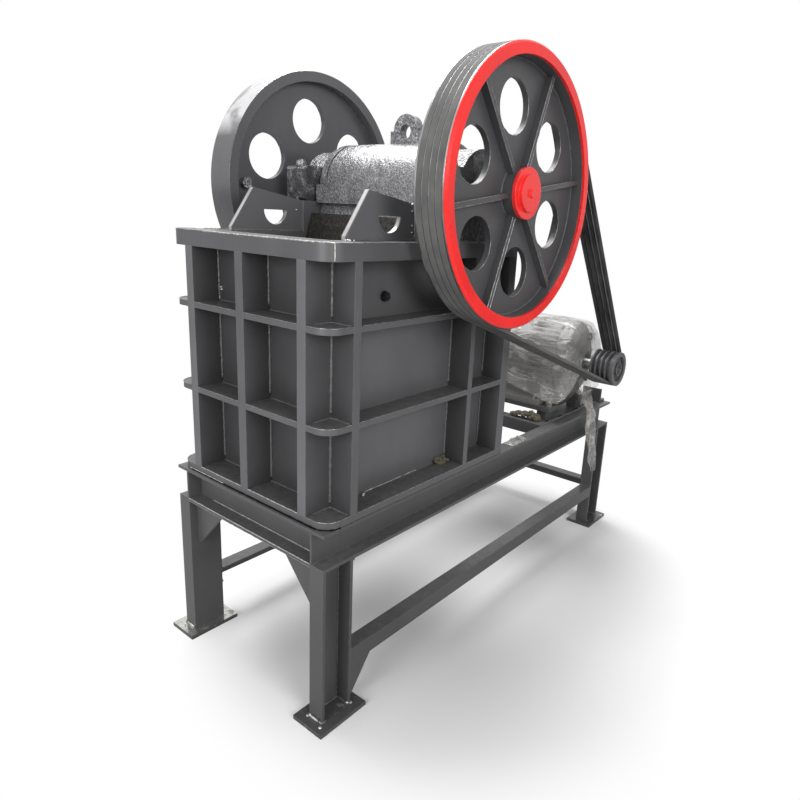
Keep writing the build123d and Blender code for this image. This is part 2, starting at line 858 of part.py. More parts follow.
# Deck for the motor: cross bar, slotted plates, two raised slide bars on spacers
deck_a = motor_end - deck_len
deck_b = motor_end - channel_w
near_deck = -web_in
far_deck = web_in - deck_plate_w
with BuildPart() as motor_deck:
    with BuildSketch(Plane.XZ.offset(-web_in)):
        with Locations((deck_a, frame_top)):
            Rectangle(deck_bar_w, deck_bar_w, align=(Align.MIN, Align.MAX))
        with Locations((deck_a + angle_t, frame_top - angle_t)):
            Rectangle(deck_bar_w, deck_bar_w, align=(Align.MIN, Align.MAX), mode=Mode.SUBTRACT)
    extrude(amount=2 * web_in)
    with BuildSketch(Plane.XY.offset(frame_top)):
        strip(deck_a + deck_bar_w, deck_b, near_deck, near_deck + deck_plate_w)
        strip(deck_a + deck_bar_w, deck_b, far_deck, far_deck + deck_plate_w)
        for slot_x in (deck_a + slot_front, deck_b - slot_len):
            for slot_y in (near_deck + slot_w, far_deck + deck_plate_w - slot_w):
                with Locations((slot_x, slot_y)):
                    SlotOverall(slot_len, slot_w, mode=Mode.SUBTRACT)
    extrude(amount=-deck_plate_t)

with BuildPart() as slide_bars:
    for side in (-1, 1):
        middle = pulley_x + side * slide_reach
        with BuildSketch(Plane.XY.offset(slide_top)):
            low_y = near_deck + slide_end
            strip(middle - slide_bar_w / 2, middle + slide_bar_w / 2, low_y, -low_y)
        extrude(amount=-slide_bar_t)
        with BuildSketch(Plane.XY.offset(frame_top)):
            for edge in (near_deck + spacer_set, -near_deck - spacer_set - spacer_len):
                strip(middle - spacer_w / 2, middle + spacer_w / 2, edge, edge + spacer_len)
        extrude(amount=slide_rise - slide_bar_t)

# Angle brackets on the end channel, each with a draw bolt to the slide bar
bracket_y = half_w - bracket_in
bracket_x = motor_end - bracket_leg
bolt_from = pulley_x + slide_reach + slide_bar_w / 2
with BuildPart() as tension_brackets:
    for side in (-1, 1):
        with BuildSketch(Plane.XZ.offset(-side * bracket_y - bracket_w / 2)):
            with Locations((bracket_x, frame_top)):
                Rectangle(bracket_leg, bracket_rise, align=(Align.MIN, Align.MIN))
            with Locations((bracket_x + bracket_t, frame_top + bracket_t)):
                Rectangle(bracket_leg, bracket_rise, align=(Align.MIN, Align.MIN), mode=Mode.SUBTRACT)
        extrude(amount=bracket_w)
        with BuildSketch(Plane.YZ.offset(bolt_from)):
            with Locations((side * bracket_y, slide_top - slide_bar_t / 2)):
                Circle(draw_bolt_r)
        extrude(amount=bracket_x - bolt_from)

pieces = {
    "base_side_channels": base_side_channels,
    "base_end_channels": base_end_channels,
    "legs": legs,
    "foot_plates": foot_plates,
    "leg_gussets": leg_gussets,
    "long_stretchers": long_stretchers,
    "end_stretcher": end_stretcher,
    "bottom_flange": bottom_flange,
    "side_plate_near": side_plate_near,
    "side_plate_far": side_plate_far,
    "cheek_plates": cheek_plates,
    "front_wall": front_wall,
    "rear_wall": rear_wall,
    "body_ribs": body_ribs,
    "top_band": top_band,
    "stiffener_bars": stiffener_bars,
    "bearing_pedestals": bearing_pedestals,
    "bearing_housing_near": bearing_housing_near,
    "bearing_housing_far": bearing_housing_far,
    "fixed_jaw_plate": fixed_jaw_plate,
    "moving_jaw_plate": moving_jaw_plate,
    "swing_jaw": swing_jaw,
    "toggle_plate": toggle_plate,
    "lifting_eye": lifting_eye,
    "motor_deck": motor_deck,
    "slide_bars": slide_bars,
    "tension_brackets": tension_brackets,
    "motor_frame": motor_frame,
    "motor_shields": motor_shields,
    "motor_feet": motor_feet,
    "terminal_box": terminal_box,
    "drive_belts": drive_belts,
    "eccentric_shaft": eccentric_shaft,
    "near_wheel_rim": near_wheel_rim,
    "near_wheel_web": near_wheel_web,
    "flywheel_ring": flywheel_ring,
    "hub_cap": hub_cap,
    "far_wheel_rim": far_wheel_rim,
    "far_wheel_web": far_wheel_web,
    "wheel_hubs": wheel_hubs,
    "flywheel_ribs": flywheel_ribs,
    "balance_weight": balance_weight,
    "far_end_plate": far_end_plate,
    "motor_pulley": motor_pulley,
    "motor_shaft": motor_shaft,
}
for label, piece in pieces.items():
    piece.part.label = label
    export_step(piece.part, "parts/" + label + ".step")
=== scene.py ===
from math import cos, pi, radians, sin

import bpy
from mathutils import Matrix, Vector, noise


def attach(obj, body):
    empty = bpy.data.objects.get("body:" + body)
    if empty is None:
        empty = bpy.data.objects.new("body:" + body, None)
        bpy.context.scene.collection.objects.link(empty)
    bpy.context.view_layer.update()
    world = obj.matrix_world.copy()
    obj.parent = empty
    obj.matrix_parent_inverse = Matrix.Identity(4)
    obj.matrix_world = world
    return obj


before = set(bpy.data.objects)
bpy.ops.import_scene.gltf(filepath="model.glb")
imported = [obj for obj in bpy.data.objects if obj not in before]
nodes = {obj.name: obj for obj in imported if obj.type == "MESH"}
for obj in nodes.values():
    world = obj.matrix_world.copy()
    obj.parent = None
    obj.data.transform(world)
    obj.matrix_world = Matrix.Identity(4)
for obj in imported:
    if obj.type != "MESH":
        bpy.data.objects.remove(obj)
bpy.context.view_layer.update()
scene = bpy.context.scene
scene.view_settings.view_transform = "Standard"

# Camera: a 28.6 mm lens on a 36 mm square, 1.28 m above the floor and a little over
# two metres from the middle of the machine, solved from its straight edges.
view = bpy.data.cameras.new("view")
view.sensor_width = 36.0
view.lens = 28.6
view.shift_x = -0.0338
view.shift_y = -0.0146
view.clip_start = 0.05
camera = bpy.data.objects.new("view", view)
to_right = Vector((0.62487, -0.77911, 0.0502))
to_top = Vector((0.17487, 0.20234, 0.96358))
to_viewer = to_right.cross(to_top)
turn = Matrix((to_right, to_top, to_viewer)).transposed().to_4x4()
camera.matrix_world = Matrix.Translation((-1.7431, -1.3093, 1.2765)) @ turn
scene.collection.objects.link(camera)
scene.camera = camera


# Studio: a pale matt floor that keeps one broad soft shadow and runs out to white,
# a white surround that metal and film mirror, and three broad lamps. The floor's colour
# is greyer under the machine, a painted shadow, and it throws back less light than it shows.
def colour(text):
    channels = []
    for start in (0, 2, 4):
        value = int(text[start : start + 2], 16) / 255
        channels.append(value / 12.92 if value <= 0.04045 else ((value + 0.055) / 1.055) ** 2.4)
    return (*channels, 1.0)


def add(tree, kind, values=None, links=None, **settings):
    node = tree.nodes.new(kind)
    for name, value in settings.items():
        setattr(node, name, value)
    for socket, value in (values or {}).items():
        node.inputs[socket].default_value = value
    for socket, source in (links or {}).items():
        tree.links.new(source, node.inputs[socket])
    return node


def new_material(name):
    material = bpy.data.materials.new(name)
    material.use_nodes = True
    material.node_tree.nodes.clear()
    return material, material.node_tree


world = bpy.data.worlds.new("white_studio")
scene.world = world
world.use_nodes = True
sky = world.node_tree
sky.nodes.clear()
ray = add(sky, "ShaderNodeLightPath")
seen = add(
    sky, "ShaderNodeMath", {}, {0: ray.outputs["Is Camera Ray"], 1: ray.outputs["Is Glossy Ray"]},
    operation="MAXIMUM",
)
seen = add(
    sky, "ShaderNodeMath", {}, {0: seen.outputs[0], 1: ray.outputs["Is Transmission Ray"]},
    operation="MAXIMUM",
)
level = add(sky, "ShaderNodeMapRange", {"To Min": 0.40, "To Max": 1.0}, {"Value": seen.outputs[0]})
surround = add(sky, "ShaderNodeBackground", {"Color": (1, 1, 1, 1)}, {"Strength": level.outputs[0]})
add(sky, "ShaderNodeOutputWorld", {}, {"Surface": surround.outputs[0]})

floor_material, tree = new_material("pale_studio_floor")
ray = add(tree, "ShaderNodeLightPath")
place = add(tree, "ShaderNodeTexCoord").outputs["Object"]
oval = add(tree, "ShaderNodeVectorMath", {1: (0.0, 0.20, 0.0)}, {0: place}, operation="ADD")
oval = add(
    tree, "ShaderNodeVectorMath", {1: (0.95, 1.05, 0.0)}, {0: oval.outputs[0]}, operation="MULTIPLY"
)
away = add(tree, "ShaderNodeVectorMath", {}, {0: oval.outputs[0]}, operation="LENGTH")
fade = add(
    tree, "ShaderNodeMapRange", {"From Min": 0.72, "From Max": 1.08},
    {"Value": away.outputs["Value"]}, interpolation_type="SMOOTHSTEP",
)
# Painted shadow: the floor's colour darkens towards the middle of the machine.
under = add(
    tree, "ShaderNodeMapRange", {"From Min": 0.25, "From Max": 0.95},
    {"Value": away.outputs["Value"]}, interpolation_type="SMOOTHSTEP",
)
painted_floor_shadow = add(
    tree, "ShaderNodeMix", {6: colour("D2D2D2"), 7: colour("F2F2F2")}, {0: under.outputs[0]},
    data_type="RGBA",
)
matt = add(tree, "ShaderNodeBsdfDiffuse", {}, {"Color": painted_floor_shadow.outputs[2]})
bounce = add(tree, "ShaderNodeBsdfDiffuse", {"Color": colour("B4B4B4")})
white = add(tree, "ShaderNodeEmission", {"Color": (1, 1, 1, 1), "Strength": 1.0})
near_and_far = add(
    tree, "ShaderNodeMixShader", {}, {0: fade.outputs[0], 1: matt.outputs[0], 2: white.outputs[0]}
)
looked_at = add(
    tree, "ShaderNodeMixShader", {},
    {0: ray.outputs["Is Camera Ray"], 1: bounce.outputs[0], 2: near_and_far.outputs[0]},
)
add(tree, "ShaderNodeOutputMaterial", {}, {"Surface": looked_at.outputs[0]})
floor_mesh = bpy.data.meshes.new("floor")
floor_mesh.from_pydata([(-30, -30, 0), (30, -30, 0), (30, 30, 0), (-30, 30, 0)], [], [(0, 1, 2, 3)])
floor_mesh.materials.append(floor_material)
floor = bpy.data.objects.new("floor", floor_mesh)
scene.collection.objects.link(floor)


machine_middle = Vector((-0.1, 0.0, 0.7))


def lamp(name, place, size, watts):
    light = bpy.data.lights.new(name, "AREA")
    light.shape = "DISK"
    light.size = size
    light.energy = watts
    holder = bpy.data.objects.new(name, light)
    aim = machine_middle - Vector(place)
    holder.rotation_euler = aim.to_track_quat("-Z", "Y").to_euler()
    holder.location = place
    scene.collection.objects.link(holder)


lamp("window_left", (-4.4, -0.6, 1.9), 2.4, 105)
lamp("soft_front", (-1.8, -4.5, 2.4), 2.6, 112)
lamp("soft_back", (0.5, 1.4, 4.5), 3.4, 235)


# Stand: two long and two short rolled channels, 100 by 48 mm, welded on four channel
# legs with flame-cut foot plates, and tied by stretchers. All of it is shot-blasted
# steel with one brushed coat of satin grey enamel.
def painted_steel(name, main, rubbed, roughness, wear=0.55, dust=0.12, painted_nook_shade=0.0):
    # The enamel catches light softly, is rubbed paler on corners, dusty where it lies
    # flat and painted darker in nooks, a painted shade. Its clouds are 200 mm across, the
    # runs 29 mm wide, the scuffs 17 mm and the orange peel 3 mm.
    material, tree = new_material(name)
    place = add(tree, "ShaderNodeTexCoord").outputs["Object"]
    cloud = add(
        tree, "ShaderNodeTexNoise", {"Scale": 5.0, "Detail": 5.0, "Roughness": 0.6},
        {"Vector": place},
    )
    peel = add(tree, "ShaderNodeTexNoise", {"Scale": 330.0, "Detail": 2.0}, {"Vector": place})
    runs = add(tree, "ShaderNodeMapping", {"Scale": (34.0, 34.0, 2.2)}, {"Vector": place})
    runs = add(
        tree, "ShaderNodeTexNoise", {"Scale": 1.0, "Detail": 3.0}, {"Vector": runs.outputs[0]}
    )
    rounding = add(tree, "ShaderNodeBevel", {"Radius": 0.0022}, samples=4)
    geometry = add(tree, "ShaderNodeNewGeometry")
    flat = add(
        tree, "ShaderNodeVectorMath", {},
        {0: rounding.outputs[0], 1: geometry.outputs["True Normal"]}, operation="DOT_PRODUCT",
    )
    edge = add(
        tree, "ShaderNodeMapRange", {"From Min": 0.985, "From Max": 0.80, "To Max": wear},
        {"Value": flat.outputs["Value"]},
    )
    scuff = add(
        tree, "ShaderNodeTexNoise", {"Scale": 60.0, "Detail": 4.0, "Roughness": 0.7},
        {"Vector": place},
    )
    worn = add(
        tree, "ShaderNodeMapRange", {"From Min": 0.36, "From Max": 0.60},
        {"Value": scuff.outputs[0]},
    )
    edge = add(
        tree, "ShaderNodeMath", {}, {0: edge.outputs[0], 1: worn.outputs[0]}, operation="MULTIPLY"
    )
    blend = add(tree, "ShaderNodeMath", {1: 0.25}, {0: runs.outputs[0]}, operation="MULTIPLY")
    blend = add(
        tree, "ShaderNodeMath", {1: 0.75, 2: 0.0}, {0: cloud.outputs[0], 2: blend.outputs[0]},
        operation="MULTIPLY_ADD",
    )
    drift = add(
        tree, "ShaderNodeMapRange",
        {"From Min": 0.35, "From Max": 0.65, "To Min": 0.90, "To Max": 1.10},
        {"Value": blend.outputs[0]},
    )
    base = add(
        tree, "ShaderNodeMix", {6: colour(main), 7: colour(rubbed)}, {0: edge.outputs[0]},
        data_type="RGBA",
    )
    # Painted shade: ambient occlusion darkens the colour in nooks and bays.
    nook_shading = add(tree, "ShaderNodeAmbientOcclusion", {"Distance": 0.16}, samples=4)
    nook_shading = add(
        tree, "ShaderNodeMapRange", {"From Min": 0.25, "From Max": 0.85, "To Min": 1.0 - painted_nook_shade},
        {"Value": nook_shading.outputs["AO"]},
    )
    drift = add(
        tree, "ShaderNodeMath", {}, {0: drift.outputs[0], 1: nook_shading.outputs[0]}, operation="MULTIPLY"
    )
    tint = add(
        tree, "ShaderNodeVectorMath", {}, {0: base.outputs[2], "Scale": drift.outputs[0]},
        operation="SCALE",
    )
    up = add(tree, "ShaderNodeSeparateXYZ", {}, {0: geometry.outputs["True Normal"]})
    lying = add(
        tree, "ShaderNodeMapRange", {"From Min": 0.5, "From Max": 1.0, "To Max": dust},
        {"Value": up.outputs["Z"]},
    )
    patch = add(
        tree, "ShaderNodeMath", {}, {0: lying.outputs[0], 1: worn.outputs[0]}, operation="MULTIPLY"
    )
    dust_and_lit_tone = add(
        tree, "ShaderNodeMix", {7: colour("9A9790")}, {0: patch.outputs[0], 6: tint.outputs[0]},
        data_type="RGBA",
    )
    gloss = add(
        tree, "ShaderNodeMapRange",
        {
            "From Min": 0.35, "From Max": 0.65, "To Min": roughness - 0.05,
            "To Max": roughness + 0.07,
        },
        {"Value": cloud.outputs[0]},
    )
    bump = add(
        tree, "ShaderNodeBump", {"Strength": 0.12, "Distance": 0.0004},
        {"Height": peel.outputs[0], "Normal": rounding.outputs[0]},
    )
    paint = add(
        tree, "ShaderNodeBsdfPrincipled", {"Metallic": 0.0, "IOR": 1.5},
        {"Base Color": dust_and_lit_tone.outputs[2], "Roughness": gloss.outputs[0], "Normal": bump.outputs[0]},
    )
    add(tree, "ShaderNodeOutputMaterial", {}, {"Surface": paint.outputs[0]})
    return material


def dress(material, *names):
    for name in names:
        mesh = nodes[name].data
        mesh.materials.clear()
        mesh.materials.append(material)


frame_paint = painted_steel("satin_grey_enamel_on_plate", "4D4D4E", "88888A", 0.42)
dress(
    frame_paint, "base_side_channels", "base_end_channels", "legs", "leg_gussets",
    "long_stretchers", "end_stretcher",
)

# Feet: the same enamel, scraped through to steel in patches about 40 mm across, which
# give hard bright glints. The far foot at the feed end is made bare steel on most of its
# top, a painted reflection standing in for the bright room its glossy enamel mirrors.
foot_paint, tree = new_material("grey_enamel_rubbed_to_steel_with_painted_reflection_on_feet")
place = add(tree, "ShaderNodeTexCoord").outputs["Object"]
mottle = add(
    tree, "ShaderNodeTexNoise", {"Scale": 26.0, "Detail": 6.0, "Roughness": 0.65}, {"Vector": place}
)
scrape = add(tree, "ShaderNodeTexNoise", {"Scale": 190.0, "Detail": 3.0}, {"Vector": place})
across = add(tree, "ShaderNodeSeparateXYZ", {}, {0: place})
feed_side = add(tree, "ShaderNodeMath", {1: -0.5}, {0: across.outputs["X"]}, operation="LESS_THAN")
far_side = add(tree, "ShaderNodeMath", {1: 0.1}, {0: across.outputs["Y"]}, operation="GREATER_THAN")
far_foot_reflection = add(
    tree, "ShaderNodeMath", {}, {0: feed_side.outputs[0], 1: far_side.outputs[0]},
    operation="MULTIPLY",
)
facing = add(
    tree, "ShaderNodeSeparateXYZ", {},
    {0: add(tree, "ShaderNodeNewGeometry").outputs["True Normal"]},
)
upward = add(tree, "ShaderNodeMath", {1: 0.7}, {0: facing.outputs["Z"]}, operation="GREATER_THAN")
far_foot_reflection = add(
    tree, "ShaderNodeMath", {}, {0: far_foot_reflection.outputs[0], 1: upward.outputs[0]}, operation="MULTIPLY"
)
start = add(
    tree, "ShaderNodeMapRange", {"To Min": 0.60, "To Max": 0.34}, {"Value": far_foot_reflection.outputs[0]}
)
finish = add(tree, "ShaderNodeMath", {1: 0.10}, {0: start.outputs[0]}, operation="ADD")
bare_and_lit = add(
    tree, "ShaderNodeMapRange", {},
    {"Value": mottle.outputs[0], "From Min": start.outputs[0], "From Max": finish.outputs[0]},
)
base = add(
    tree, "ShaderNodeMix", {6: colour("4A4A4B"), 7: colour("C4C3C0")}, {0: bare_and_lit.outputs[0]},
    data_type="RGBA",
)
metal = add(tree, "ShaderNodeMath", {1: 0.9}, {0: bare_and_lit.outputs[0]}, operation="MULTIPLY")
gloss = add(
    tree, "ShaderNodeMapRange", {"From Min": 0.3, "From Max": 0.7, "To Min": 0.10, "To Max": 0.30},
    {"Value": scrape.outputs[0]},
)
bump = add(
    tree, "ShaderNodeBump", {"Strength": 0.18, "Distance": 0.0004}, {"Height": scrape.outputs[0]}
)
skin = add(
    tree, "ShaderNodeBsdfPrincipled", {},
    {
        "Base Color": base.outputs[2], "Metallic": metal.outputs[0], "Roughness": gloss.outputs[0],
        "Normal": bump.outputs[0],
    },
)
add(tree, "ShaderNodeOutputMaterial", {}, {"Surface": skin.outputs[0]})
dress(foot_paint, "foot_plates")


# Welds: fillets laid by hand along the seams, 5 to 6 mm wide, rippled by each drop
# of metal, and painted over with the plate. A bead follows a line of points.
def new_tree(name, sizes):
    tree = bpy.data.node_groups.new(name, "GeometryNodeTree")
    tree.interface.new_socket("Geometry", in_out="INPUT", socket_type="NodeSocketGeometry")
    for label, value in sizes.items():
        socket = tree.interface.new_socket(label, in_out="INPUT", socket_type="NodeSocketFloat")
        socket.default_value = value
    tree.interface.new_socket("Finish", in_out="INPUT", socket_type="NodeSocketMaterial")
    tree.interface.new_socket("Geometry", in_out="OUTPUT", socket_type="NodeSocketGeometry")
    return tree, add(tree, "NodeGroupInput").outputs


def end_tree(tree, source, given):
    real = add(tree, "GeometryNodeRealizeInstances", {}, {"Geometry": source})
    finish = add(
        tree, "GeometryNodeSetMaterial", {},
        {"Geometry": real.outputs[0], "Material": given["Finish"]},
    )
    add(tree, "NodeGroupOutput", {}, {"Geometry": finish.outputs[0]})


def grow(name, mesh, tree, sizes, material, body):
    seed = bpy.data.objects.new(name + "_seed", mesh)
    scene.collection.objects.link(seed)
    growth = seed.modifiers.new("growth", "NODES")
    growth.node_group = tree
    inputs = {**sizes, "Finish": material}
    for item in tree.interface.items_tree:
        if item.item_type == "SOCKET" and item.in_out == "INPUT" and item.name in inputs:
            growth[item.identifier] = inputs[item.name]
    ready = bpy.context.evaluated_depsgraph_get()
    grown = bpy.data.meshes.new_from_object(seed.evaluated_get(ready), depsgraph=ready)
    bpy.data.objects.remove(seed)
    piece = bpy.data.objects.new(name, grown)
    scene.collection.objects.link(piece)
    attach(piece, body)


bead_tree, given = new_tree(
    "hand_laid_fillet_weld", {"Bead radius": 0.0028, "Drop spacing": 0.0045}
)
seam = add(bead_tree, "GeometryNodeMeshToCurve", {}, {"Mesh": given["Geometry"]})
seam = add(
    bead_tree, "GeometryNodeResampleCurve", {},
    {"Curve": seam.outputs[0], "Length": given["Drop spacing"]}, mode="LENGTH",
)
wander = add(bead_tree, "ShaderNodeTexNoise", {"Scale": 120.0, "Detail": 2.0})
wander = add(
    bead_tree, "ShaderNodeVectorMath", {1: (0.5, 0.5, 0.5)}, {0: wander.outputs["Color"]},
    operation="SUBTRACT",
)
wander = add(
    bead_tree, "ShaderNodeVectorMath", {"Scale": 0.0022}, {0: wander.outputs[0]}, operation="SCALE"
)
seam = add(
    bead_tree, "GeometryNodeSetPosition", {},
    {"Geometry": seam.outputs[0], "Offset": wander.outputs[0]},
)
drops = add(bead_tree, "ShaderNodeTexNoise", {"Scale": 260.0, "Detail": 1.0})
drops = add(
    bead_tree, "ShaderNodeMapRange",
    {"From Min": 0.3, "From Max": 0.7, "To Min": 0.65, "To Max": 1.3}, {"Value": drops.outputs[0]},
)
ring = add(
    bead_tree, "GeometryNodeCurvePrimitiveCircle", {"Resolution": 7},
    {"Radius": given["Bead radius"]},
)
bead = add(
    bead_tree, "GeometryNodeCurveToMesh", {"Fill Caps": True},
    {"Curve": seam.outputs[0], "Profile Curve": ring.outputs[0], "Scale": drops.outputs[0]},
)
end_tree(bead_tree, bead.outputs[0], given)


def weld(name, seams, material, radius=0.0028, body="crusher_and_stand"):
    points = []
    edges = []
    for line in seams:
        first = len(points)
        points.extend(line)
        edges.extend((first + i, first + i + 1) for i in range(len(line) - 1))
    mesh = bpy.data.meshes.new(name)
    mesh.from_pydata(points, edges, [])
    grow(name, mesh, bead_tree, {"Bead radius": radius}, material, body)


# Paint lies thick over the ripples of a weld, so it is smoother than on the plate. Its
# colour is painted lighter than the stand's, a painted highlight for the light the ripples catch.
weld_paint = painted_steel("satin_grey_enamel_painted_lighter_over_weld", "565657", "8E8E90", 0.40, 0.35, 0.05)


def bare_metal(name, main, dark, roughness):
    # Bare steel as the torch or the grinder left it: it glints, and the heat stained it
    # in patches 11 mm across. The same finish draws bright lines as painted highlights
    # and a black line as a painted shadow.
    patch = 0.011
    material, tree = new_material(name)
    place = add(tree, "ShaderNodeTexCoord").outputs["Object"]
    heat = add(tree, "ShaderNodeTexNoise", {"Scale": 1.0 / patch, "Detail": 3.0}, {"Vector": place})
    tone = add(
        tree, "ShaderNodeMapRange", {"From Min": 0.3, "From Max": 0.7}, {"Value": heat.outputs[0]}
    )
    base = add(
        tree, "ShaderNodeMix", {6: colour(dark), 7: colour(main)}, {0: tone.outputs[0]},
        data_type="RGBA",
    )
    metal = add(
        tree, "ShaderNodeBsdfPrincipled", {"Metallic": 0.9, "Roughness": roughness},
        {"Base Color": base.outputs[2]},
    )
    add(tree, "ShaderNodeOutputMaterial", {}, {"Surface": metal.outputs[0]})
    return material


bare_weld_and_highlight_metal = bare_metal("bare_weld_metal_and_painted_highlight", "D9D8D5", "8F8B85", 0.36)
channel_inside = 0.2605
channel_outside = 0.3115
leg_web = 0.2687
foot_top = 0.013
leg_top = 0.4385
stretcher_edges = (0.176, 0.129)
stand_seams = []
for end in (-1, 1):
    leg_outer, toe_outer, toe_inner, leg_inner = (end * x for x in (0.8265, 0.815, 0.735, 0.7235))
    joint = end * 0.777
    for side in (-1, 1):
        inside, outside, web = side * channel_inside, side * channel_outside, side * leg_web
        round_leg = (
            (leg_outer, inside),
            (leg_outer, outside),
            (toe_outer, outside),
            (toe_outer, web),
            (toe_inner, web),
            (toe_inner, outside),
            (leg_inner, outside),
        )
        stand_seams.append([(x, y, foot_top) for x, y in round_leg])
        stand_seams.append([(leg_inner, outside, leg_top), (leg_inner, inside, leg_top)])
        stand_seams.append([(joint, inside, 0.445), (joint, inside, 0.535)])
        for z in stretcher_edges:
            stand_seams.append([(leg_inner, side * 0.264, z), (leg_inner, side * 0.309, z)])
for side in (-1, 1):
    inside = side * channel_inside
    stand_seams.append(
        [(-0.792, inside, 0.305), (-0.792, inside, leg_top), (-0.792, side * 0.135, leg_top)]
    )
    stand_seams.append([(0.779, inside, 0.13), (0.779, inside, 0.175)])
weld("stand_welds", stand_seams, weld_paint, 0.0032)
weld("foot_tack_welds", [
    [(-0.8290, -0.268, 0.0150), (-0.8300, -0.284, 0.0155), (-0.8295, -0.303, 0.0150)],
    [(-0.803, -0.2605, 0.0145), (-0.776, -0.2605, 0.0145)],
    [(-0.7340, -0.3070, 0.0150), (-0.7335, -0.3120, 0.0150)],
    [(-0.8265, 0.264, 0.0145), (-0.8265, 0.3, 0.0145)],
], bare_weld_and_highlight_metal, 0.0044)


# Crusher body: 30 mm side plates joined by the front and rear walls, framed by flat-bar
# stiffeners and two rings of ribs, with a flange below and a band round the top. It is
# welded throughout and painted as the stand is, more worn, with painted shade in its bays.
body_wear = {"rubbed": "8C8C8E", "roughness": 0.40, "wear": 0.6, "dust": 0.15}
body_paint = painted_steel("satin_grey_enamel_on_crusher_body", "565658", painted_nook_shade=0.48, **body_wear)
dress(body_paint, "bottom_flange", "rear_wall", "body_ribs")


def paint_shade_on_faces(paint, keeps, normal_axis, place_axis, unshaded_within, fully_shaded_from):
    # Painted shade darkens only the faces that look along one axis. There is none as
    # far as one distance from the machine's middle and it is full from another, and there
    # the paint keeps this share of its brightness.
    tree = paint.node_tree
    skin = next(node for node in tree.nodes if node.type == "BSDF_PRINCIPLED")
    painted = skin.inputs["Base Color"].links[0].from_socket
    spot = add(
        tree, "ShaderNodeSeparateXYZ", {}, {0: add(tree, "ShaderNodeTexCoord").outputs["Object"]}
    )
    facing = add(
        tree, "ShaderNodeSeparateXYZ", {},
        {0: add(tree, "ShaderNodeNewGeometry").outputs["True Normal"]},
    )
    turned = add(tree, "ShaderNodeMath", {}, {0: facing.outputs[normal_axis]}, operation="ABSOLUTE")
    away = add(tree, "ShaderNodeMath", {}, {0: spot.outputs[place_axis]}, operation="ABSOLUTE")
    inside = add(
        tree, "ShaderNodeMapRange", {"From Min": unshaded_within, "From Max": fully_shaded_from},
        {"Value": away.outputs[0]},
    )
    shade_share = add(
        tree, "ShaderNodeMath", {}, {0: turned.outputs[0], 1: inside.outputs[0]},
        operation="MULTIPLY",
    )
    share = add(
        tree, "ShaderNodeMapRange", {"To Min": 1.0, "To Max": keeps}, {"Value": shade_share.outputs[0]}
    )
    shaded_colour = add(
        tree, "ShaderNodeVectorMath", {}, {0: painted, "Scale": share.outputs[0]}, operation="SCALE"
    )
    tree.links.new(shaded_colour.outputs[0], skin.inputs["Base Color"])


# Feed wall: painted shade on its broad face, which looks deep in the bays, none on edges.
wall_paint = painted_steel("grey_enamel_with_painted_shade_on_feed_wall", "565658", painted_nook_shade=0.44, **body_wear)
paint_shade_on_faces(wall_paint, 0.66, "X", "X", 0.1, 0.2)
dress(wall_paint, "front_wall")

# Bars: painted shade on the faces behind the corner of a side plate, none in front.
bar_paint = painted_steel("satin_grey_enamel_on_stiffener_bars", "565658", painted_nook_shade=0.48, **body_wear)
paint_shade_on_faces(bar_paint, 0.60, "X", "Y", 0.232, 0.244)
dress(bar_paint, "stiffener_bars")

# Side plates: painted lighter than the body, a painted light on faces the near wheel
# shades, with painted shade only on the part that stands out past the feed wall.
side_paint = painted_steel("satin_grey_enamel_painted_lighter_on_side_plates", "606062", painted_nook_shade=0.34, **body_wear)
paint_shade_on_faces(side_paint, 0.66, "Y", "X", 0.712, 0.742)
dress(side_paint, "side_plate_near", "side_plate_far")

# Band: no painted shade in nooks, because it lies open at the top.
band_paint = painted_steel("satin_grey_enamel_on_top_band", "525254", **body_wear)
dress(band_paint, "top_band")

feed_wall = -0.737
rear_wall = -0.0515
side_plate = 0.236
wall_edge = 0.2045
rib_side = 0.3081
rib_front = -0.8151
bay_floors = (0.5605, 0.7945, 1.0265)
bay_roofs = (0.7785, 1.0105, 1.1695)
front_bays = ((-wall_edge, -0.0075), (0.0235, wall_edge))
side_bays = ((-0.711, -0.268), (-0.246, -0.090))
upright_seams = []
level_seams = []
for low, high in zip(bay_floors, bay_roofs):
    for y0, y1 in front_bays:
        for y in (y0, y1):
            upright_seams.append([(feed_wall, y, low + 0.014), (feed_wall, y, high)])
        for z in (low, high):
            level_seams.append([(feed_wall, y0, z), (feed_wall, y1, z)])
    for side in (-1, 1):
        y, y_out = side * side_plate, side * 0.3
        upright_seams.append([(feed_wall, y, low + 0.014), (feed_wall, y, high)])
        level_seams.append([(-0.79, y, low), (feed_wall, y, low), (feed_wall, y_out, low)])
        for x0, x1 in side_bays:
            for x in (x0, x1):
                upright_seams.append([(x, y, low + 0.012), (x, y, high)])
            for z in (low, high):
                level_seams.append([(x0, y, z), (x1, y, z)])
            level_seams.append([(x0, y_out, low), (x0, y, low)])
for y in (-wall_edge, wall_edge):
    upright_seams.append([(rear_wall, y, 0.575), (rear_wall, y, 1.165)])
level_seams.append([(rear_wall, -wall_edge, 0.5612), (rear_wall, wall_edge, 0.5612)])
weld("body_upright_welds", upright_seams, weld_paint, 0.0038)
weld("body_level_welds", level_seams, weld_paint, 0.0020)
# Bright bare-metal lines on painted corner welds: painted highlights.
weld("corner_weld_highlight_lines", [
    [(-0.7375, -0.2045, 1.04), (-0.7375, -0.2045, 1.16)],
    [(-0.7375, 0.2045, 1.03), (-0.7375, 0.2045, 1.158)],
    [(-0.7925, -0.3030, 1.172), (-0.7925, -0.3030, 1.209)],
    [(-0.2685, -0.236, 0.60), (-0.2685, -0.236, 0.725)],
    [(-0.612, -0.2362, 0.5615), (-0.40, -0.2362, 0.5615)],
], bare_weld_and_highlight_metal, 0.0015)

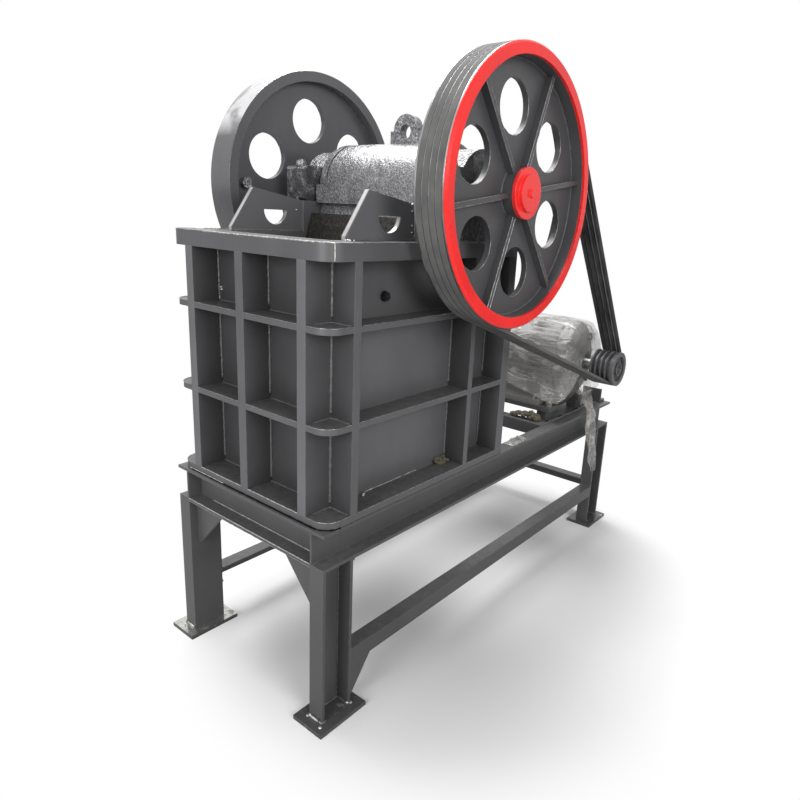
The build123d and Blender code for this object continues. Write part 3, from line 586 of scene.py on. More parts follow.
# Fine light lines of bare metal along the upper edges of ribs, band and channel, and down
# the feed-end legs' web corners: painted highlights where these edges catch light.
edge_highlight_metal = bare_metal("painted_highlight_on_plate_edge", "A8A8A8", "6E6E70", 0.34)
highlight_edges = []
for z in (0.5602, 0.7942, 1.0262, 1.2102):
    for side in (-1, 1):
        y = side * rib_side
        corner = []
        for angle in (radians(9 * step) for step in range(11)):
            corner.append((-0.770 - 0.0451 * cos(angle), side * (0.263 + 0.0451 * sin(angle)), z))
        highlight_edges.append([(rib_front, side * side_plate, z)] + corner + [(feed_wall, y, z)])
        for x0, x1 in side_bays:
            highlight_edges.append([(x0, y, z), (x1, y, z)])
    for y0, y1 in front_bays:
        highlight_edges.append([(rib_front, y0, z), (rib_front, y1, z)])
highlight_edges.append([(-0.8251, -0.262, 0.4402), (-0.8251, 0.262, 0.4402)])
for y in (-0.2684, 0.2684):
    highlight_edges.append([(-0.7345, y, 0.02), (-0.7345, y, 0.438)])
weld("plate_edge_highlight_lines", highlight_edges, edge_highlight_metal, 0.0011)

# Almost white lines along the lower edges at the feed end: painted highlights where the edges catch
# light.
flange_edge_highlight_metal = bare_metal("painted_highlight_on_body_flange_edge", "E4E4E4", "B0B0B0", 0.3)
weld("flange_edge_highlight_lines", [
    [(-0.8152, -0.205, 0.5603), (-0.8152, -0.007, 0.5603)],
    [(-0.8152, 0.023, 0.5603), (-0.8152, 0.205, 0.5603)],
    [(-0.8157, 0.10, 0.5432), (-0.8157, 0.262, 0.5432)],
    [(-0.7838, -0.258, 0.4490), (-0.7838, 0.20, 0.4490)],
    [(-0.8251, -0.262, 0.4487), (-0.8251, 0.262, 0.4487)],
], flange_edge_highlight_metal, 0.0013)

# A matt, almost black line along the joint of flange and channel: a painted shadow of the gap.
shadow_line_black = bare_metal("painted_shadow_in_flange_joint", "1C1C1C", "0E0E0E", 0.8)
joint_line = (
    (-0.8158, 0.25), (-0.8158, -0.263), (-0.8095, -0.285), (-0.7925, -0.3025), (-0.770, -0.3086)
)
weld("painted_shadow_line_in_flange_joint", [[(x, y, 0.5408) for x, y in joint_line]], shadow_line_black, 0.0026)
# A bright line along the band's top edge: a painted highlight.
band_line = ((-0.8149, 0.15), (-0.8149, -0.263), (-0.8095, -0.284), (-0.7925, -0.3020))
weld("band_edge_highlight_line", [[(x, y, 1.2098) for x, y in band_line]], bare_weld_and_highlight_metal, 0.0018)


# Cheek plates: 16 mm plate flame-cut to shape and welded on the band. The paint was
# put on before the edges were ground, so faces are grey and edges bright metal with
# fine scratches. The bright strip keeps to the plate's middle, short of its burrs.
cheek_middle = 0.2195
cheek_faces = (0.2295, 0.2105)
cheek_paint, tree = new_material("grey_enamel_on_plate_with_ground_edges")
place = add(tree, "ShaderNodeTexCoord").outputs["Object"]
cloud = add(tree, "ShaderNodeTexNoise", {"Scale": 9.0, "Detail": 5.0}, {"Vector": place})
grit = add(tree, "ShaderNodeTexNoise", {"Scale": 420.0, "Detail": 2.0}, {"Vector": place})
facing = add(
    tree, "ShaderNodeSeparateXYZ", {},
    {0: add(tree, "ShaderNodeNewGeometry").outputs["True Normal"]},
)
across = add(tree, "ShaderNodeMath", {}, {0: facing.outputs["Y"]}, operation="ABSOLUTE")
ground = add(
    tree, "ShaderNodeMapRange", {"From Min": 0.9, "From Max": 0.6, "To Max": 0.95},
    {"Value": across.outputs[0]},
)
patchy = add(
    tree, "ShaderNodeMapRange", {"From Min": 0.30, "From Max": 0.5, "To Min": 0.35, "To Max": 1.0},
    {"Value": cloud.outputs[0]},
)
ground = add(
    tree, "ShaderNodeMath", {}, {0: ground.outputs[0], 1: patchy.outputs[0]}, operation="MULTIPLY"
)
spot = add(tree, "ShaderNodeSeparateXYZ", {}, {0: place})
aside = add(tree, "ShaderNodeMath", {}, {0: spot.outputs["Y"]}, operation="ABSOLUTE")
aside = add(tree, "ShaderNodeMath", {1: -cheek_middle}, {0: aside.outputs[0]}, operation="ADD")
aside = add(tree, "ShaderNodeMath", {}, {0: aside.outputs[0]}, operation="ABSOLUTE")
strip = add(
    tree, "ShaderNodeMapRange", {"From Min": 0.0062, "From Max": 0.0044},
    {"Value": aside.outputs[0]},
)
ground = add(
    tree, "ShaderNodeMath", {}, {0: ground.outputs[0], 1: strip.outputs[0]}, operation="MULTIPLY"
)
base = add(
    tree, "ShaderNodeMix", {6: colour("636365"), 7: colour("C4C3C1")}, {0: ground.outputs[0]},
    data_type="RGBA",
)
gloss = add(
    tree, "ShaderNodeMapRange", {"From Min": 0.3, "From Max": 0.7, "To Min": 0.30, "To Max": 0.46},
    {"Value": grit.outputs[0]},
)
rounding = add(tree, "ShaderNodeBevel", {"Radius": 0.0015}, samples=4)
bump = add(
    tree, "ShaderNodeBump", {"Strength": 0.25, "Distance": 0.0005},
    {"Height": grit.outputs[0], "Normal": rounding.outputs[0]},
)
plate = add(
    tree, "ShaderNodeBsdfPrincipled", {},
    {
        "Base Color": base.outputs[2], "Metallic": ground.outputs[0], "Roughness": gloss.outputs[0],
        "Normal": bump.outputs[0],
    },
)
add(tree, "ShaderNodeOutputMaterial", {}, {"Surface": plate.outputs[0]})
dress(cheek_paint, "cheek_plates")
band_top = 1.2115
cheek_seams = []
for side in (-1, 1):
    outer, inner = (side * y for y in cheek_faces)
    for y in (outer, inner):
        cheek_seams.append([(-0.684, y, band_top), (-0.45, y, band_top)])
    cheek_seams.append([(-0.444, outer, 1.215), (-0.444, outer, 1.31)])
weld("cheek_welds", cheek_seams, weld_paint, 0.0034)


# Jaw plates and toggle: manganese steel castings bolted in the chamber, dark from the
# foundry, with faint polished patches where test stone ran.
def bare_steel(name, main, dark, roughness, spacing, depth=0.0006):
    # Unpainted steel with a clouded sheen: the clouds are as far apart as the spacing
    # says, in metres, and rise by the depth.
    material, tree = new_material(name)
    place = add(tree, "ShaderNodeTexCoord").outputs["Object"]
    marks = add(
        tree, "ShaderNodeTexNoise", {"Scale": 1.0 / spacing, "Detail": 4.0}, {"Vector": place}
    )
    tone = add(
        tree, "ShaderNodeMapRange", {"From Min": 0.3, "From Max": 0.7}, {"Value": marks.outputs[0]}
    )
    base = add(
        tree, "ShaderNodeMix", {6: colour(dark), 7: colour(main)}, {0: tone.outputs[0]},
        data_type="RGBA",
    )
    gloss = add(
        tree, "ShaderNodeMapRange",
        {"From Min": 0.3, "From Max": 0.7, "To Min": roughness - 0.08, "To Max": roughness + 0.1},
        {"Value": marks.outputs[0]},
    )
    bump = add(
        tree, "ShaderNodeBump", {"Strength": 0.3, "Distance": depth}, {"Height": marks.outputs[0]}
    )
    metal = add(
        tree, "ShaderNodeBsdfPrincipled", {"Metallic": 1.0},
        {"Base Color": base.outputs[2], "Roughness": gloss.outputs[0], "Normal": bump.outputs[0]},
    )
    add(tree, "ShaderNodeOutputMaterial", {}, {"Surface": metal.outputs[0]})
    return material


jaw_steel = bare_steel("manganese_steel_as_cast", "4E4C4A", "2E2D2C", 0.50, 0.008)
dress(jaw_steel, "fixed_jaw_plate", "moving_jaw_plate", "toggle_plate")


# Bearing housings, their seats and the swing jaw: steel cast in sand, brushed with
# aluminium primer, and held down by four big bolts.
def sand_cast(name, main, dark, roughness, grain, depth, speck, shaded_flank=None):
    # The knobbly skin glints in specks. Its lumps are one grain across, 3 to 5.5 mm, over
    # swells of 38 mm. Where a shaded flank colour is given, steep faces are painted darker
    # than tops, a painted shade.
    material, tree = new_material(name)
    place = add(tree, "ShaderNodeTexCoord").outputs["Object"]
    lumps = add(
        tree, "ShaderNodeTexNoise", {"Scale": 1.0 / grain, "Detail": 5.0, "Roughness": 0.68},
        {"Vector": place},
    )
    broad = add(
        tree, "ShaderNodeTexNoise", {"Scale": 26.0, "Detail": 3.0, "Distortion": 0.6},
        {"Vector": place},
    )
    pits = add(tree, "ShaderNodeTexVoronoi", {"Scale": 0.55 / grain}, {"Vector": place})
    mixed = add(
        tree, "ShaderNodeMath", {1: 0.5}, {0: pits.outputs["Distance"]}, operation="MULTIPLY"
    )
    height = add(
        tree, "ShaderNodeMath", {}, {0: lumps.outputs[0], 1: mixed.outputs[0]}, operation="ADD"
    )
    wide = add(tree, "ShaderNodeMath", {1: 0.35}, {0: broad.outputs[0]}, operation="MULTIPLY")
    toned = add(
        tree, "ShaderNodeMath", {}, {0: height.outputs[0], 1: wide.outputs[0]}, operation="ADD"
    )
    shade = add(
        tree, "ShaderNodeMapRange", {"From Min": 0.94 - speck, "From Max": 0.94 + speck},
        {"Value": toned.outputs[0]},
    )
    base = add(
        tree, "ShaderNodeMix", {6: colour(dark), 7: colour(main)}, {0: shade.outputs[0]},
        data_type="RGBA",
    ).outputs[2]
    if shaded_flank:
        facing = add(
            tree, "ShaderNodeSeparateXYZ", {},
            {0: add(tree, "ShaderNodeNewGeometry").outputs["True Normal"]},
        )
        lean = add(
            tree, "ShaderNodeMath", {1: 0.9, 2: 0.0}, {0: broad.outputs[0], 2: facing.outputs["Z"]},
            operation="MULTIPLY_ADD",
        )
        bare_and_lit = add(
            tree, "ShaderNodeMapRange", {"From Min": 0.42, "From Max": 0.66},
            {"Value": lean.outputs[0]},
        )
        base = add(
            tree, "ShaderNodeMix", {6: colour(shaded_flank)}, {0: bare_and_lit.outputs[0], 7: base},
            data_type="RGBA",
        ).outputs[2]
    swell = add(
        tree, "ShaderNodeBump", {"Strength": 0.55, "Distance": 0.006}, {"Height": broad.outputs[0]}
    )
    bump = add(
        tree, "ShaderNodeBump", {"Strength": 1.0, "Distance": depth},
        {"Height": height.outputs[0], "Normal": swell.outputs[0]},
    )
    metal = add(
        tree, "ShaderNodeBsdfPrincipled", {"Metallic": 0.75, "Roughness": roughness},
        {"Base Color": base, "Normal": bump.outputs[0]},
    )
    add(tree, "ShaderNodeOutputMaterial", {}, {"Surface": metal.outputs[0]})
    return material


jaw_casting = sand_cast(
    "aluminium_primer_on_swing_jaw", "A6A6A8", "6A6A6D", 0.25, 0.0030, 0.0010, 0.18
)
# The housings' steep faces take a darker flank colour: painted shade.
rough_casting = sand_cast(
    "aluminium_primer_with_painted_shade_on_rough_housing", "AEAEB0", "58585B", 0.27, 0.0050, 0.0034, 0.17, "4E4E50"
)
eye_casting = sand_cast(
    "aluminium_primer_on_lifting_eye", "A8A8AA", "5E5E61", 0.27, 0.0038, 0.0024, 0.18
)
dress(jaw_casting, "swing_jaw")
# The balance weight takes the eye's brighter casting, with no darker flanks: painted light on its
# shaded face.
dress(eye_casting, "lifting_eye", "balance_weight")
dress(rough_casting, "bearing_housing_near", "bearing_housing_far")

# The seats have plain grey primer without aluminium, duller and darker.
seat_casting = sand_cast(
    "grey_primer_on_bearing_seat", "6C6C6F", "3A3A3D", 0.42, 0.0055, 0.0022, 0.18
)
dress(seat_casting, "bearing_pedestals")

# Bolts: a washer, a hexagon head or nut, and the end of the thread that stands out of
# it, set on a point along its aim and turned at random.
bolt_sizes = {
    "Head radius": 0.015,
    "Head height": 0.012,
    "Washer radius": 0.019,
    "Washer thickness": 0.003,
    "Thread radius": 0.008,
    "Thread stands out": 0.0,
}
bolt_tree, given = new_tree("hex_bolt_with_washer", bolt_sizes)
bolt = add(bolt_tree, "GeometryNodeJoinGeometry")
head_top = add(
    bolt_tree, "ShaderNodeMath", {}, {0: given["Head height"], 1: given["Washer thickness"]},
    operation="ADD",
)
for corners, radius, height, below in (
    (24, "Washer radius", "Washer thickness", {}),
    (6, "Head radius", "Head height", {2: given["Washer thickness"]}),
    (18, "Thread radius", "Thread stands out", {2: head_top.outputs[0]}),
):
    disc = add(
        bolt_tree, "GeometryNodeMeshCylinder", {"Vertices": corners},
        {"Radius": given[radius], "Depth": given[height]},
    )
    middle = add(
        bolt_tree, "ShaderNodeMath", {1: 0.5, 2: 0.0}, {0: given[height], **below},
        operation="MULTIPLY_ADD",
    )
    lift = add(bolt_tree, "ShaderNodeCombineXYZ", {}, {"Z": middle.outputs[0]})
    disc = add(
        bolt_tree, "GeometryNodeTransform", {},
        {"Geometry": disc.outputs[0], "Translation": lift.outputs[0]},
    )
    bolt_tree.links.new(disc.outputs[0], bolt.inputs[0])
aim = add(bolt_tree, "GeometryNodeInputNamedAttribute", {"Name": "aim"}, data_type="FLOAT_VECTOR")
stand_up = add(
    bolt_tree, "FunctionNodeAlignRotationToVector", {}, {"Vector": aim.outputs[0]}, axis="Z"
)
spin = add(bolt_tree, "FunctionNodeRandomValue", {3: pi / 3, 8: 4}, data_type="FLOAT")
spin = add(
    bolt_tree, "FunctionNodeAxisAngleToRotation", {"Axis": (0, 0, 1)}, {"Angle": spin.outputs[1]}
)
stand_up = add(
    bolt_tree, "FunctionNodeRotateRotation", {}, {0: stand_up.outputs[0], 1: spin.outputs[0]},
    rotation_space="LOCAL",
)
bolts = add(
    bolt_tree, "GeometryNodeInstanceOnPoints", {},
    {"Points": given["Geometry"], "Instance": bolt.outputs[0], "Rotation": stand_up.outputs[0]},
)
end_tree(bolt_tree, bolts.outputs[0], given)


def screw_down(name, places, material, head, washer, thread):
    # Head, washer and thread are each a radius and a height, in metres.
    sizes = dict(zip(bolt_sizes, (*head, *washer, *thread)))
    mesh = bpy.data.meshes.new(name)
    mesh.from_pydata([place for place, aim in places], [], [])
    aims = mesh.attributes.new("aim", "FLOAT_VECTOR", "POINT")
    for index, (place, aim) in enumerate(places):
        aims.data[index].vector = aim
    grow(name, mesh, bolt_tree, sizes, material, "crusher_and_stand")


# Blacked bolts look like dark iron, and zinc-plated ones pale and slightly yellow.
black_bolt = bare_steel("black_oxide_bolt_steel", "5A5A5C", "2F2F31", 0.42, 0.004)
zinc_bolt = bare_steel("zinc_plated_bolt_steel", "B9B7AE", "8C8A84", 0.32, 0.006)
up = (0, 0, 1)
shaft_x = -0.25
shaft_z = 1.343
housing_places = [((shaft_x + x, y, 1.4), up) for x in (-0.155, 0.155) for y in (-0.2565, 0.2565)]
screw_down(
    "housing_bolts", housing_places, eye_casting, (0.0160, 0.012), (0.0180, 0.003), (0.010, 0.004)
)
panel_places = [
    ((x, side * 0.235, z), (0, side, 0))
    for side in (-1, 1)
    for x, z in ((-0.56, 1.076), (-0.18, 1.1))
]
screw_down(
    "side_plate_bolts", panel_places, black_bolt, (0.0125, 0.010), (0.0135, 0.002), (0.006, 0.002)
)
seat_seams = []
for side in (-1, 1):
    y0, y1, y2 = side * 0.2362, side * 0.2988, side * 0.3015
    seat_seams.append([(-0.4445, y0, band_top), (-0.4445, y1, band_top)])
    seat_seams.append([(-0.44, y2, band_top), (-0.07, y2, band_top)])
    seat_seams.append([(-0.0635, y1, band_top), (-0.0635, y0, band_top)])
weld("seat_welds", seat_seams, weld_paint, 0.0036)


# Shafts: the crusher's and the motor's are forged bars turned in a lathe, left without
# paint. They show fine marks of the tool, 2 mm apart, and a clean sheen.
turned_steel = bare_steel("lathe_turned_steel", "C4C4C6", "98989A", 0.26, 0.002, 0.0001)
dress(turned_steel, "eccentric_shaft", "motor_shaft")


# Wheels: grey-iron castings keyed on the shaft and turned on the rim. The near one
# carries the belts and the far one the balance weight. Both are painted dark grey.
def wheel_finish(name, main, rubbed, roughness, bare_from, bare_and_lit, bare_gloss, above=-1.0):
    # The paint is worn off outside one radius, in smears 90 mm across and above one
    # height: the belt wheel's lands show as thin bright lines, and the far wheel's tread is
    # painted bright near its top, a painted reflection.
    material = painted_steel(name, main, rubbed, roughness, 0.75, 0.05)
    tree = material.node_tree
    paint = next(node for node in tree.nodes if node.type == "BSDF_PRINCIPLED")
    place = add(tree, "ShaderNodeTexCoord").outputs["Object"]
    spoke = add(
        tree, "ShaderNodeVectorMath", {1: (-shaft_x, 0.0, -shaft_z)}, {0: place}, operation="ADD"
    )
    spoke = add(
        tree, "ShaderNodeVectorMath", {1: (1.0, 0.0, 1.0)}, {0: spoke.outputs[0]},
        operation="MULTIPLY",
    )
    radius = add(tree, "ShaderNodeVectorMath", {}, {0: spoke.outputs[0]}, operation="LENGTH")
    tread = add(
        tree, "ShaderNodeMapRange", {"From Min": bare_from, "From Max": bare_from + 0.0004},
        {"Value": radius.outputs["Value"]},
    )
    smear = add(tree, "ShaderNodeTexNoise", {"Scale": 11.0, "Detail": 4.0}, {"Vector": place})
    kept = add(
        tree, "ShaderNodeMapRange", {"From Min": 0.38, "From Max": 0.50, "To Min": 0.25},
        {"Value": smear.outputs[0]},
    )
    worn_and_reflection = add(
        tree, "ShaderNodeMath", {}, {0: tread.outputs[0], 1: kept.outputs[0]}, operation="MULTIPLY"
    )
    level = add(tree, "ShaderNodeSeparateXYZ", {}, {0: place})
    # Only above this height, so the far tread's bright colour is a painted reflection on top.
    high = add(
        tree, "ShaderNodeMapRange", {"From Min": above, "From Max": above + 0.06},
        {"Value": level.outputs["Z"]},
    )
    worn_and_reflection = add(
        tree, "ShaderNodeMath", {}, {0: worn_and_reflection.outputs[0], 1: high.outputs[0]}, operation="MULTIPLY"
    )
    before = paint.inputs["Base Color"].links[0].from_socket
    mixed = add(
        tree, "ShaderNodeMix", {7: colour(bare_and_lit)}, {0: worn_and_reflection.outputs[0], 6: before},
        data_type="RGBA",
    )
    gloss = paint.inputs["Roughness"].links[0].from_socket
    rough = add(
        tree, "ShaderNodeMix", {3: bare_gloss}, {0: worn_and_reflection.outputs[0], 2: gloss}, data_type="FLOAT"
    )
    tree.links.new(mixed.outputs[2], paint.inputs["Base Color"])
    tree.links.new(rough.outputs[0], paint.inputs["Roughness"])
    tree.links.new(worn_and_reflection.outputs[0], paint.inputs["Metallic"])
    return material


near_rim_paint = wheel_finish(
    "grey_enamel_with_worn_lands", "4C4C4E", "7C7C7E", 0.36, 0.3488, "A2A2A4", 0.30
)
dress(near_rim_paint, "near_wheel_rim")
far_rim_paint = wheel_finish(
    "grey_enamel_with_painted_reflection_on_tread", "58585A", "9C9C9E", 0.26, 0.3490, "EDEDEF", 0.14, 1.47
)
dress(far_rim_paint, "far_wheel_rim")
# The belt wheel's web, hubs and ribs are painted darker than the far web: a painted shade for the
# rim's shadow on them.
near_web_paint = painted_steel(
    "grey_enamel_painted_darker_on_belt_wheel_web", "49494B", "8A8A8C", 0.40, 0.8, 0.05
)
dress(near_web_paint, "near_wheel_web", "wheel_hubs", "flywheel_ribs")
far_web_paint = painted_steel("grey_enamel_on_far_wheel_web", "57575A", "9C9C9E", 0.38, 0.7, 0.05)
dress(far_web_paint, "far_wheel_web", "far_end_plate")
wheel_seams = []
for y, first in ((-0.3995, 38.6), (-0.3825, 38.6), (0.3925, 36.0), (0.3755, 36.0)):
    for radius in (0.3185, 0.0635):
        turns = [radians(first + 3 * step) for step in range(121)]
        wheel_seams.append(
            [(shaft_x + radius * cos(a), y, shaft_z + radius * sin(a)) for a in turns]
        )
weld("wheel_fillets", wheel_seams, near_web_paint, 0.0030, "crusher_rotor")

# Fine light lines on the lower right arcs of the web holes and along the ribs: painted
# highlights where these edges catch light.
hole_circle = 0.207
hole_radius = 0.0672
wheel_highlight_edges = []
for y, first in ((-0.3992, 98.6), (0.3922, 96.0)):
    for step in range(6):
        spoke = radians(first + 60 * step)
        x, z = shaft_x + hole_circle * cos(spoke), shaft_z + hole_circle * sin(spoke)
        turns = [radians(-125 + 6 * part) for part in range(29)]
        wheel_highlight_edges.append([(x + hole_radius * cos(a), y, z + hole_radius * sin(a)) for a in turns])
for step in range(6):
    spoke = radians(68.6 + 60 * step)
    for offset in (-0.006, 0.006):
        x, z = shaft_x - offset * sin(spoke), shaft_z + offset * cos(spoke)
        rib = [(x + r * cos(spoke), -0.4201, z + r * sin(spoke)) for r in (0.068, 0.19, 0.317)]
        wheel_highlight_edges.append(rib)
weld("wheel_edge_highlight_lines", wheel_highlight_edges, edge_highlight_metal, 0.0010, "crusher_rotor")


# Ring and cap: a steel ring shrunk on the belt wheel and the cap of the shaft's end,
# both brushed with coral red gloss enamel. It shines softly and its colour stays strong
# up to the edges, where it is rubbed pink.
red_enamel = painted_steel("coral_red_gloss_enamel", "F02A28", "F07A78", 0.26, 0.25, 0.0)
shine = next(node for node in red_enamel.node_tree.nodes if node.type == "BSDF_PRINCIPLED")
shine.inputs["Specular IOR Level"].default_value = 0.3
dress(red_enamel, "flywheel_ring")
cap_enamel = wheel_finish(
    "coral_red_gloss_enamel_on_cap", "EC2A28", "F07A78", 0.26, 0.6, "EC2A28", 0.26
)
dress(cap_enamel, "hub_cap")


# Motor deck: cross bars and flat plates welded over the channels, two slide bars on
# spacers with slots, and draw bolts that pull the motor back to tighten the belts.
deck_paint = painted_steel("dark_grey_enamel_on_deck", "464648", "8A8A8C", 0.44, 0.7, 0.22)
dress(deck_paint, "motor_deck", "slide_bars", "tension_brackets")
deck_top = 0.5415
deck_seams = []
for side in (-1, 1):
    inside, y0, y1 = side * channel_inside, side * 0.2635, side * 0.2555
    deck_seams.append([(0.3055, inside, 0.497), (0.3055, inside, 0.538)])
    deck_seams.append([(0.31, y0, deck_top), (0.774, y0, deck_top)])
    for x0, x1 in ((0.3675, 0.4425), (0.6215, 0.6965)):
        deck_seams.append([(x0, y1, deck_top), (x1, y1, deck_top)])
weld("deck_welds", deck_seams, weld_paint, 0.0030)
slide_places = [((x, side * 0.232, 0.592), up) for x in (0.405, 0.659) for side in (-1, 1)]
screw_down(
    "slide_bar_bolts", slide_places, zinc_bolt, (0.0135, 0.011), (0.017, 0.003), (0.008, 0.006)
)
foot_places = [((x, y, 0.610), up) for x in (0.387, 0.677) for y in (-0.178, 0.030)]
screw_down(
    "motor_foot_bolts", foot_places, zinc_bolt, (0.0105, 0.010), (0.0125, 0.0025), (0.006, 0.010)
)


# Motor: grey-iron frame with cooling fins, bolted shields, a pressed fan cowl and a
# terminal box. Frame, feet and box are pale grey enamel, rough as cast between the
# fins, and the shields are a darker and smoother grey.
motor_x = 0.532
motor_z = 0.755
motor_paint = painted_steel(
    "pale_grey_enamel_on_motor_casting", "7E7D7B", "A8A8A8", 0.42, 0.5, 0.15
)
dress(motor_paint, "motor_frame", "motor_feet", "terminal_box")
shield_paint = painted_steel(
    "dark_grey_enamel_on_motor_shields", "474747", "7C7C7C", 0.38, 0.4, 0.08
)
dress(shield_paint, "motor_shields")
shield_places = []
for angle in (radians(45 + 90 * step) for step in range(4)):
    place = (motor_x + 0.118 * cos(angle), -0.2725, motor_z + 0.118 * sin(angle))
    shield_places.append((place, (0, -1, 0)))
screw_down(
    "shield_bolts", shield_places, shield_paint, (0.0085, 0.007), (0.010, 0.003), (0.004, 0.001)
)
lid_places = [
    ((0.726, -0.158 + y, 0.775 + z), (1, 0, 0)) for y in (-0.048, 0.048) for z in (-0.038, 0.038)
]
screw_down(
    "terminal_box_screws", lid_places, zinc_bolt, (0.0045, 0.004), (0.006, 0.001), (0.002, 0.0005)
)


# Pulley and belts: a small cast pulley keyed to the motor shaft, and four wrapped
# V-belts, rubber under a cotton cover. The pulley has the dark sheen of oiled iron.
pulley_iron = painted_steel("dark_oiled_cast_iron_pulley", "59595B", "B8B8B8", 0.30, 0.95, 0.0)
dress(pulley_iron, "motor_pulley")

# The cotton is matt. The upper strand is painted dark, a painted shade, and the lower one
# and the wrap on the feed side of the wheel are painted lighter grey, a painted light, both
# mottled in clouds 70 mm across. The weave is really under 1 mm, and is drawn at 1.4 mm
# so that it shows.
belt_rubber, tree = new_material("cotton_covered_rubber_belt")
place = add(tree, "ShaderNodeTexCoord").outputs["Object"]
weave = add(tree, "ShaderNodeTexNoise", {"Scale": 700.0, "Detail": 2.0}, {"Vector": place})
dust = add(tree, "ShaderNodeTexNoise", {"Scale": 14.0, "Detail": 5.0}, {"Vector": place})
tone = add(
    tree, "ShaderNodeMapRange", {"From Min": 0.35, "From Max": 0.7}, {"Value": dust.outputs[0]}
)
across_belts = (0.6012, 0.0, 0.7996)
line_of_centres = 0.9236
above = add(tree, "ShaderNodeVectorMath", {1: across_belts}, {0: place}, operation="DOT_PRODUCT")
above = add(
    tree, "ShaderNodeMath", {1: line_of_centres}, {0: above.outputs["Value"]}, operation="SUBTRACT"
)
spot = add(tree, "ShaderNodeSeparateXYZ", {}, {0: place})
behind = add(tree, "ShaderNodeMath", {1: 0.30}, {0: spot.outputs["X"]}, operation="ADD")
upper_strand = add(
    tree, "ShaderNodeMath", {}, {0: above.outputs[0], 1: behind.outputs[0]}, operation="MINIMUM"
)
upper_strand_shade = add(
    tree, "ShaderNodeMapRange", {"From Min": 0.03, "From Max": -0.06},
    {"Value": upper_strand.outputs[0]},
)
shaded_belt_tone = add(
    tree, "ShaderNodeMix", {6: colour("2E2E30"), 7: colour("474746")}, {0: tone.outputs[0]},
    data_type="RGBA",
)
dust_and_lit_tone = add(
    tree, "ShaderNodeMix", {6: colour("545454"), 7: colour("686866")}, {0: tone.outputs[0]},
    data_type="RGBA",
)
base = add(
    tree, "ShaderNodeMix", {}, {0: upper_strand_shade.outputs[0], 6: shaded_belt_tone.outputs[2], 7: dust_and_lit_tone.outputs[2]},
    data_type="RGBA",
)
bump = add(
    tree, "ShaderNodeBump", {"Strength": 0.2, "Distance": 0.0003}, {"Height": weave.outputs[0]}
)
rubber = add(
    tree, "ShaderNodeBsdfPrincipled", {"Roughness": 0.75, "Specular IOR Level": 0.25},
    {"Base Color": base.outputs[2], "Normal": bump.outputs[0]},
)
add(tree, "ShaderNodeOutputMaterial", {}, {"Surface": rubber.outputs[0]})
dress(belt_rubber, "drive_belts")


# Wrapping: thin clear polythene left on the motor from the crate, gathered to the shaft
# in front, with a tail that hangs down. It goes milky where it folds: folds are 70 mm
# apart and run along the motor, crinkles 17 to 40 mm, and the rest mirrors the room.
film, tree = new_material("creased_clear_polythene_film")
place = add(tree, "ShaderNodeTexCoord").outputs["Object"]
drawn = add(tree, "ShaderNodeMapping", {"Scale": (15.0, 4.2, 15.0)}, {"Vector": place})
folds = add(
    tree, "ShaderNodeTexNoise", {"Scale": 1.0, "Detail": 3.0, "Distortion": 1.1},
    {"Vector": drawn.outputs[0]},
)
folds = add(tree, "ShaderNodeMath", {1: 0.5}, {0: folds.outputs[0]}, operation="SUBTRACT")
folds = add(tree, "ShaderNodeMath", {}, {0: folds.outputs[0]}, operation="ABSOLUTE")
folds = add(
    tree, "ShaderNodeMapRange", {"From Min": 0.0, "From Max": 0.055, "To Min": 1.0, "To Max": 0.0},
    {"Value": folds.outputs[0]}, interpolation_type="SMOOTHSTEP",
)
crinkle = add(tree, "ShaderNodeMapping", {"Scale": (58.0, 24.0, 58.0)}, {"Vector": place})
crinkle = add(
    tree, "ShaderNodeTexNoise", {"Scale": 1.0, "Detail": 3.0, "Distortion": 1.6},
    {"Vector": crinkle.outputs[0]},
)
soft = add(
    tree, "ShaderNodeTexNoise", {"Scale": 8.0, "Detail": 4.0, "Roughness": 0.6}, {"Vector": place}
)
cloud = add(
    tree, "ShaderNodeMapRange",
    {"From Min": 0.38, "From Max": 0.62, "To Min": 0.26, "To Max": 0.60},
    {"Value": soft.outputs[0]},
)
some = add(
    tree, "ShaderNodeMapRange", {"From Min": 0.45, "From Max": 0.60, "To Max": 0.50},
    {"Value": soft.outputs[0]},
)
streak = add(
    tree, "ShaderNodeMath", {}, {0: folds.outputs[0], 1: some.outputs[0]}, operation="MULTIPLY"
)
cover = add(
    tree, "ShaderNodeMath", {}, {0: cloud.outputs[0], 1: streak.outputs[0]}, operation="ADD"
)
height = add(
    tree, "ShaderNodeMath", {1: 0.6}, {0: crinkle.outputs[0], 2: folds.outputs[0]},
    operation="MULTIPLY_ADD",
)
bump = add(
    tree, "ShaderNodeBump", {"Strength": 0.7, "Distance": 0.004}, {"Height": height.outputs[0]}
)
sheet = add(
    tree, "ShaderNodeBsdfPrincipled",
    {"Base Color": colour("B2B0AD"), "Roughness": 0.12, "IOR": 1.5},
    {"Alpha": cover.outputs[0], "Normal": bump.outputs[0]},
)
add(tree, "ShaderNodeOutputMaterial", {}, {"Surface": sheet.outputs[0]})


def smooth(low, high, value):
    share = min(max((value - low) / (high - low), 0.0), 1.0)
    return share * share * (3.0 - 2.0 * share)


def film_piece(name, across, along, point_at, body="crusher_and_stand"):
    points = [point_at(i / across, j / along) for j in range(along + 1) for i in range(across + 1)]
    faces = []
    for j in range(along):
        for i in range(across):
            first = j * (across + 1) + i
            faces.append((first, first + 1, first + across + 2, first + across + 1))
    mesh = bpy.data.meshes.new(name)
    mesh.from_pydata(points, [], faces)
    mesh.polygons.foreach_set("use_smooth", [True] * len(faces))
    mesh.materials.append(film)
    piece = bpy.data.objects.new(name, mesh)
    scene.collection.objects.link(piece)
    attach(piece, body)
    return piece


